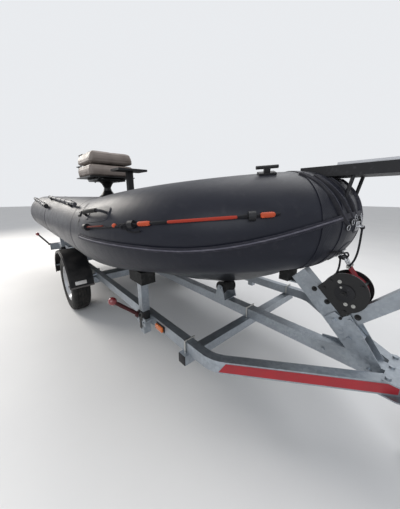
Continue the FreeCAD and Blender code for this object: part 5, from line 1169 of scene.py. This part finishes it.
def frame_trim():
    """Red film on the rails' fronts, caps on the cross members, clamps round the support posts."""
    films, caps, clamps = bmesh.new(), bmesh.new(), bmesh.new()
    cosine, sine = math.cos(FRONT_ANGLE), math.sin(FRONT_ANGLE)
    for side in BOTH_SIDES:
        start = Vector((FILM_START[0], side * FILM_START[1], FILM_START[2]))
        along = Vector((cosine, -side * sine, 0))
        out = Vector((sine, side * cosine, 0))
        for vert in grid(films, 24, 3):
            share = (vert.co.x + 1) / 2
            slant = (0.5 - vert.co.y / 2) * -0.030 * (1 - share)
            vert.co = (start + along * (0.004 + slant + FILM_LENGTH * share) + out * 0.0007
                       + Z_AXIS * (vert.co.y * FILM_HALF_HEIGHT))
    piece("stripe_films", films, "stripe", "galvanised")
    for x in MEMBER_XS:
        for side in BOTH_SIDES:
            rounded_box(caps, (x, side * (MEMBER_END + 0.0015), MEMBER_Z), (0.050, 0.005, 0.050), 0.003)
            rounded_box(caps, (x, side * (MEMBER_END - 0.010), MEMBER_Z), (0.043, 0.020, 0.043), 0.003)
    rounded_box(caps, DRAWBAR_CAP, (0.005, 0.060, 0.060), 0.003)
    piece("end_caps", caps, "moulding", "rubber", crease=40)
    for x in CLAMP_XS:
        for side in BOTH_SIDES:
            rounded_box(clamps, (x, side * CLAMP_Y, CLAMP_Z), (0.053, 0.052, 0.054), 0.003)
            hex_bolt(clamps, (x, side * CLAMP_FACE_Y, CLAMP_Z), Y_AXIS * side, 0.0085, 0.006)
            rounded_box(clamps, (x, side * STRAP_Y, STRAP_Z), (0.024, 0.004, 0.060), 0.0015)
    piece("post_clamps", clamps, "paint", "black_metal", crease=40)


# Wheels

WHEEL_X, WHEEL_Y, WHEEL_Z = -0.705, 0.642, 0.280
TREAD_RADIUS = 0.2795
TREAD_COLUMNS, TREAD_PITCH, SIPE_DEPTH = 150, 5, 0.0055
# Middle, half width and depth of the two grooves
GROOVES = ((0.012, 0.0032, 0.007), (0.034, 0.0036, 0.007))
SHOULDER = [(0.050, 0.2765), (0.058, 0.2735), (0.066, 0.2675), (0.0715, 0.259), (0.0745, 0.2480),
            (0.0765, 0.2475), (0.0772, 0.2400), (0.0760, 0.2390), (0.0775, 0.2250), (0.0788, 0.2100),
            (0.0785, 0.1980), (0.0768, 0.1965), (0.0768, 0.1930), (0.0775, 0.1920), (0.0750, 0.1830),
            (0.0700, 0.1745), (0.0655, 0.1735), (0.0620, 0.1700), (0.0590, 0.1660), (0.0400, 0.1665)]
VALVE_STEM = [(0, 0), (0, 0.0065), (0.010, 0.006), (0.014, 0.0042), (0.030, 0.0042), (0.030, 0.005),
              (0.040, 0.005), (0.042, 0.004), (0.042, 0)]
GUARD_RADIUS, SHINE_TURN, LIP_TURN, BEAD_START, BEAD_TURN = 0.3425, 16, 9.4, 8.5, math.radians(163)
# Distance to port and radius of the beads along a mudguard's two edges
BEADS = ((0.551, 0.3395), (0.742, 0.332))


def tread_profile():
    """The tyre's closed section: distance out from its middle plane, radius."""
    half = [(0.0, TREAD_RADIUS)]
    for middle, width, depth in GROOVES:
        half += [(middle - width - 0.001, TREAD_RADIUS - middle * 0.03),
                 (middle - width, TREAD_RADIUS - depth), (middle + width, TREAD_RADIUS - depth),
                 (middle + width + 0.001, 0.279 - middle * 0.04)]
    half += SHOULDER
    profile = [(-y, radius) for y, radius in reversed(half)] + half[1:]
    return profile + profile[:1]


def tyres():
    """Tyres with grooves and sipes, and the valve stems of the wheels."""
    for side, name in SIDE_NAMES:
        tyre, stem = bmesh.new(), bmesh.new()
        centre = Vector((WHEEL_X, side * WHEEL_Y, WHEEL_Z))
        turned(tyre, centre, Y_AXIS * side, tread_profile(), TREAD_COLUMNS)
        for vert in tyre.verts:
            out = vert.co - centre
            across, radius = abs(out.y), math.hypot(out.x, out.z)
            column = round(math.atan2(out.z, out.x) / math.tau * TREAD_COLUMNS + across * 300)
            if radius >= 0.262 and across >= 0.016 and column % TREAD_PITCH == 0:
                scale = (radius - SIPE_DEPTH) / radius
                vert.co = Vector((centre.x + out.x * scale, vert.co.y, centre.z + out.z * scale))
        piece("tyre_tread_" + name, tyre, "tyre", "tyre", body="wheel_" + name,
              replaces=("tyre_" + name,), crease=40)
        turned(stem, centre + Vector((0.118, side * 0.040, 0.0)), Vector((-0.25, side, 0)).normalized(),
               VALVE_STEM, 12)
        piece("valve_stem_" + name, stem, "rubber", "rubber", body="wheel_" + name, crease=40)


def guard_place(turn, radius, y):
    angle = math.radians(turn)
    return Vector((WHEEL_X + radius * math.cos(angle), y, WHEEL_Z + radius * math.sin(angle)))


def mudguard_trim():
    """The lower lip at each mudguard's front, its bead, and a pale reflector over it."""
    lips, beads, shines = bmesh.new(), bmesh.new(), bmesh.new()
    shine_turn = facing(Y_AXIS, Vector((math.cos(math.radians(15)), 0, math.sin(math.radians(15)))))
    lip_turn = facing(Y_AXIS, Vector((1, 0, 0.15)))
    for side in BOTH_SIDES:
        rounded_box(shines, guard_place(SHINE_TURN, GUARD_RADIUS, side * 0.655),
                    (0.092, 0.032, 0.006), 0.002, shine_turn)
        rounded_box(lips, guard_place(LIP_TURN, GUARD_RADIUS, side * 0.6465),
                    (0.186, 0.014, 0.007), 0.003, lip_turn, 3)
        for y, radius in BEADS:
            edges = ring(beads, guard_place(BEAD_START, radius, side * y), Z_AXIS, 0.0042, 8)
            swung(beads, edges, (WHEEL_X, side * y, WHEEL_Z), -Y_AXIS, BEAD_TURN, 48)
    piece("guard_reflectors", shines, "reflector", "pale_plastic", crease=40)
    piece("guard_lips", lips, "guard_lip", "mudguard")
    piece("guard_beads", beads, "mudguard", "mudguard")


# Stern board and lights

TRANSOM_BACK, TRANSOM_FRONT = -1.995, -1.955
# The rubber edge's parts on one side: distance out, height, length, slope
EDGE_PARTS = ((0.360, 1.0605, 0.122, 0.0), (0.2625, 1.0128, 0.124, math.atan2(0.095, 0.075)))
EDGE_LOW_Z = 0.9655
# The motor plates on both faces, their ribs and bolts, the plugs and the stern eyes
PLATE_XS, PLATE_Z = (-2.0048, -1.9452), 0.858
RIBS, RIB_LOW_Z, RIB_STEP = 7, 0.798, 0.020
PLATE_BOLT_X, PLATE_BOLT_YS, PLATE_BOLT_ZS = -2.003, (-0.118, 0.118), (0.782, 0.934)
PLUG_YS, PLUG_Z = (-0.20, 0.20), 0.585
STERN_EYE_YS, STERN_EYE_Z, STERN_BOLT_ZS = (-0.315, 0.315), 0.800, (0.775, 0.825)
STERN_WIRE_LOW_Z = 0.783
PLUG = [(0, 0), (0, 0.026), (0.003, 0.027), (0.005, 0.024), (0.005, 0.016), (0.009, 0.014),
        (0.013, 0.010), (0.013, 0)]
MARKER_LENS = [(0, 0.0115), (0.002, 0.016), (0.006, 0.0195), (0.014, 0.0225), (0.021, 0.0237),
               (0.030, 0.0222), (0.038, 0.0165), (0.043, 0.008), (0.0445, 0)]
# Tip and foot of the rubber arms on the port side
MARKER_ARMS = (((-2.205, 0.745, 0.590), (-2.156, 0.625, 0.426)),
               ((0.531, 0.700, 0.552), (0.563, 0.566, 0.432)))


def transom_trim():
    """The rubber edge of the stern board, its ribbed motor plate, plugs, eyes and bolts."""
    edge, plates, eyes = bmesh.new(), bmesh.new(), bmesh.new()
    middle = (TRANSOM_BACK + TRANSOM_FRONT) / 2
    for side in BOTH_SIDES:
        for y, z, length, slope in EDGE_PARTS:
            rounded_box(edge, (middle, side * y, z), (0.047, length, 0.009), 0.003,
                        Matrix.Rotation(side * slope, 4, "X"))
    rounded_box(edge, (middle, 0, EDGE_LOW_Z), (0.047, 0.450, 0.009), 0.003)
    piece("transom_edge", edge, "rubber", "rubber")
    for x in PLATE_XS:
        rounded_box(plates, (x, 0, PLATE_Z), (0.0036, 0.236, 0.166), 0.0015)
        for index in range(RIBS):
            rounded_box(plates, (x, 0, RIB_LOW_Z + index * RIB_STEP), (0.0068, 0.200, 0.006), 0.0022)
    for y in PLUG_YS:
        turned(plates, (TRANSOM_BACK, y, PLUG_Z), -X_AXIS, PLUG, 24)
    piece("transom_plates", plates, "moulding", "fittings", crease=40)
    for y in PLATE_BOLT_YS:
        for z in PLATE_BOLT_ZS:
            hex_bolt(eyes, (PLATE_BOLT_X, y, z), -X_AXIS, 0.0055, 0.004)
    for y in STERN_EYE_YS:
        rounded_box(eyes, (TRANSOM_BACK - 0.002, y, STERN_EYE_Z), (0.004, 0.030, 0.066), 0.0018)
        for z in STERN_BOLT_ZS:
            hex_bolt(eyes, (TRANSOM_BACK - 0.004, y, z), -X_AXIS, 0.0042, 0.003)
        wire = ring(eyes, (TRANSOM_BACK - 0.003, y, STERN_WIRE_LOW_Z), X_AXIS, 0.0035, 8)
        swung(eyes, wire, (TRANSOM_BACK - 0.003, y, STERN_EYE_Z), Y_AXIS, math.pi, 16)
    piece("stern_eyes", eyes, "stainless", "stainless", crease=40)


def paired_blocks(*rows):
    """Pieces of one block on each side: name, finish, slot, place to port, size, bevel, segments."""
    for name, finish, slot, (x, y, z), size, bevel, segments in rows:
        bm = bmesh.new()
        for side in BOTH_SIDES:
            rounded_box(bm, (x, side * y, z), size, bevel, segments=segments)
        piece(name, bm, finish, slot)


def lamps():
    """Rear lamps in three colours, marker lamps on the arms and amber side markers."""
    low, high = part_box("rear_lamps")
    base, face, z = high.x - 0.004, low.x + 0.001, (low.z + high.z) / 2
    paired_blocks(
        ("lamp_bases", "moulding", "fittings", (base, 0.4975, z), (0.012, 0.223, 0.099), 0.003, 2),
        ("turn_lenses", "amber_lens", "lamp_red", (face, 0.566, z), (0.004, 0.060, 0.076), 0.0018, 2),
        ("reverse_lenses", "reflector", "pale_plastic", (face, 0.422, z), (0.004, 0.044, 0.076),
         0.0018, 2))
    bm = bmesh.new()
    for side in BOTH_SIDES:
        for arm in MARKER_ARMS:
            tip, foot = (Vector((x, side * y, z)) for x, y, z in arm)
            way = (tip - foot).normalized()
            turned(bm, tip - way * 0.021, way, MARKER_LENS, 28)
    piece("arm_lamps", bm, "dark_lens", "lamp_red", replaces=("marker_lamps",))
    paired_blocks(
        ("side_markers", "amber_lens", "lamp_red", (0.735, 0.5315, 0.409), (0.070, 0.014, 0.030),
         0.005, 3),
        ("side_marker_bases", "moulding", "fittings", (0.735, 0.5215, 0.409), (0.080, 0.004, 0.038),
         0.0015, 2))


# Inside the boat, the jockey wheel and the poles

SCREEN_MIDDLE, SCREEN_LEAN = Vector((0.195, -0.100, 1.160)), math.radians(-18)
JOCKEY_WHEEL = Vector((1.850, 0.088, 0.100))
JOCKEY_DISC = [(0, 0.010), (0, 0.058), (0.003, 0.060), (0.005, 0.058), (0.003, 0.050), (0.003, 0.030),
               (0.008, 0.022), (0.0115, 0.020), (0.0115, 0.010)]
# Rear end, front end and radius
POLES = ((Vector((-2.005, -0.7134, 1.0899)), Vector((-0.805, -0.7648, 1.0348)), 0.014),
         (Vector((-1.105, -0.6781, 1.1128)), Vector((0.155, -0.7324, 1.0734)), 0.011))
COLLAR_SHARES = (0.02, 0.22, 0.42, 0.62, 0.76, 0.97)


def inside():
    """The non-slip mat on the deck, the screen's glass and keys, the hub discs of the jockey wheel."""
    mat, glass, keys, discs = (bmesh.new() for _ in range(4))
    rounded_box(mat, (-1.065, 0, 0.7334), (1.66, 0.74, 0.006), 0.0025)
    piece("deck_mat", mat, "mat", "hull_shell", crease=40)
    turn = Matrix.Rotation(SCREEN_LEAN, 4, "Y")
    rounded_box(glass, SCREEN_MIDDLE + turn @ Vector((-0.0148, 0, 0.006)), (0.002, 0.100, 0.052),
                0.0008, turn)
    piece("screen_glass", glass, "screen", "instrument")
    for index in range(4):
        rounded_box(keys, SCREEN_MIDDLE + turn @ Vector((-0.0148, -0.036 + index * 0.024, -0.026)),
                    (0.003, 0.012, 0.006), 0.0012, turn)
    piece("screen_keys", keys, "rubber", "fittings")
    for side in BOTH_SIDES:
        turned(discs, JOCKEY_WHEEL + Y_AXIS * side * 0.0135, Y_AXIS * side, JOCKEY_DISC, 36)
    piece("jockey_discs", discs, "wheel", "wheel_steel", body="jockey_roller", crease=35)


def pole_trim():
    """Collars on the stowed poles."""
    bm = bmesh.new()
    for aft, fore, radius in POLES:
        way, length = (fore - aft).normalized(), (fore - aft).length
        proud = radius + 0.0025
        for share in COLLAR_SHARES:
            turned(bm, aft + way * (length * share), way,
                   [(-0.008, radius), (-0.006, proud), (0.006, proud), (0.008, radius)], 20)
    piece("pole_collars", bm, "moulding", "fittings", crease=40)


# Camera, light and floor

CAMERA_PLACE = Vector((1.685, -1.074, 1.12))
CAMERA_HEADING = Vector((-0.7455, 0.6665, 0.0))
CAMERA_PITCH = math.radians(15.0)
CAMERA_LENS = 15.42
LIGHT_TARGET = Vector((0, 0, 0.8))
# Name, place, length and width, power, colour
LIGHTS = (("key", (-5.5, -2.5, 4.2), (3.0, 3.0), 330, (1.0, 0.95, 0.88)),
          ("fill", (4.0, -5.0, 3.0), (4.0, 3.0), 120, (0.9, 0.95, 1.0)),
          ("top", (0.5, 1.5, 5.0), (5.0, 4.0), 150, (1, 1, 1)))


def aimed(name, data, place, look):
    """A new object at a place that looks along a direction."""
    obj = linked(name, data)
    obj.location = place
    obj.rotation_mode = "QUATERNION"
    obj.rotation_quaternion = look.to_track_quat("-Z", "Y")
    return obj


def make_camera():
    data = bpy.data.cameras.new("camera")
    data.lens = CAMERA_LENS
    data.sensor_width = 36.0
    data.clip_start = 0.02
    data.clip_end = 100.0
    look = CAMERA_HEADING.normalized() * math.cos(CAMERA_PITCH) - Z_AXIS * math.sin(CAMERA_PITCH)
    bpy.context.scene.camera = aimed("camera", data, CAMERA_PLACE, look)


def make_lights():
    for name, place, size, energy, color in LIGHTS:
        data = bpy.data.lights.new(name, "AREA")
        data.shape = "RECTANGLE"
        data.size, data.size_y = size
        data.energy = energy
        data.color = color
        aimed(name, data, place, LIGHT_TARGET - Vector(place))


def make_world():
    """A soft studio: pale to the camera, in gloss and through glass, and dimmer as a light."""
    world = bpy.data.worlds.new("studio")
    bpy.context.scene.world = world
    world.use_nodes = True
    nodes, links = world.node_tree.nodes, world.node_tree.links
    rays = nodes.new("ShaderNodeLightPath").outputs
    seen = rays["Is Camera Ray"]
    for ray in ("Is Glossy Ray", "Is Transmission Ray"):
        either = nodes.new("ShaderNodeMath")
        either.operation = "MAXIMUM"
        links.new(seen, either.inputs[0])
        links.new(rays[ray], either.inputs[1])
        seen = either.outputs[0]
    strength = nodes.new("ShaderNodeMapRange")
    strength.inputs["To Min"].default_value = 0.55
    strength.inputs["To Max"].default_value = 0.86
    links.new(seen, strength.inputs["Value"])
    background = nodes["Background"]
    background.inputs["Color"].default_value = (0.95, 0.97, 1.0, 1)
    links.new(strength.outputs["Result"], background.inputs["Strength"])


def make_floor():
    bm = bmesh.new()
    bmesh.ops.create_grid(bm, x_segments=1, y_segments=1, size=30.0)
    floor = linked("floor", mesh_of("floor", bm))
    finish = worn("floor_paint", 0.7, 0.5, (1.5, 4.0), (0.3, 0.7), (0.70, 0.70, 0.705), (0.73, 0.73, 0.73),
                  color=(0.70, 0.70, 0.70))
    floor.data.materials.append(finish.material)


make_camera()
bow_ropes()
finish_nodes()
tubes()
seam_tapes()
strake_crests()
nose_straps()
d_rings()
bow_eyes()
eye_lashing()
lifelines()
carry_handles()
side_tie()
valve_caps()
seat()
winch_trim()
frame_trim()
tyres()
mudguard_trim()
transom_trim()
lamps()
inside()
pole_trim()
bpy.context.scene.view_settings.view_transform = "Standard"
make_world()
make_floor()
make_lights()
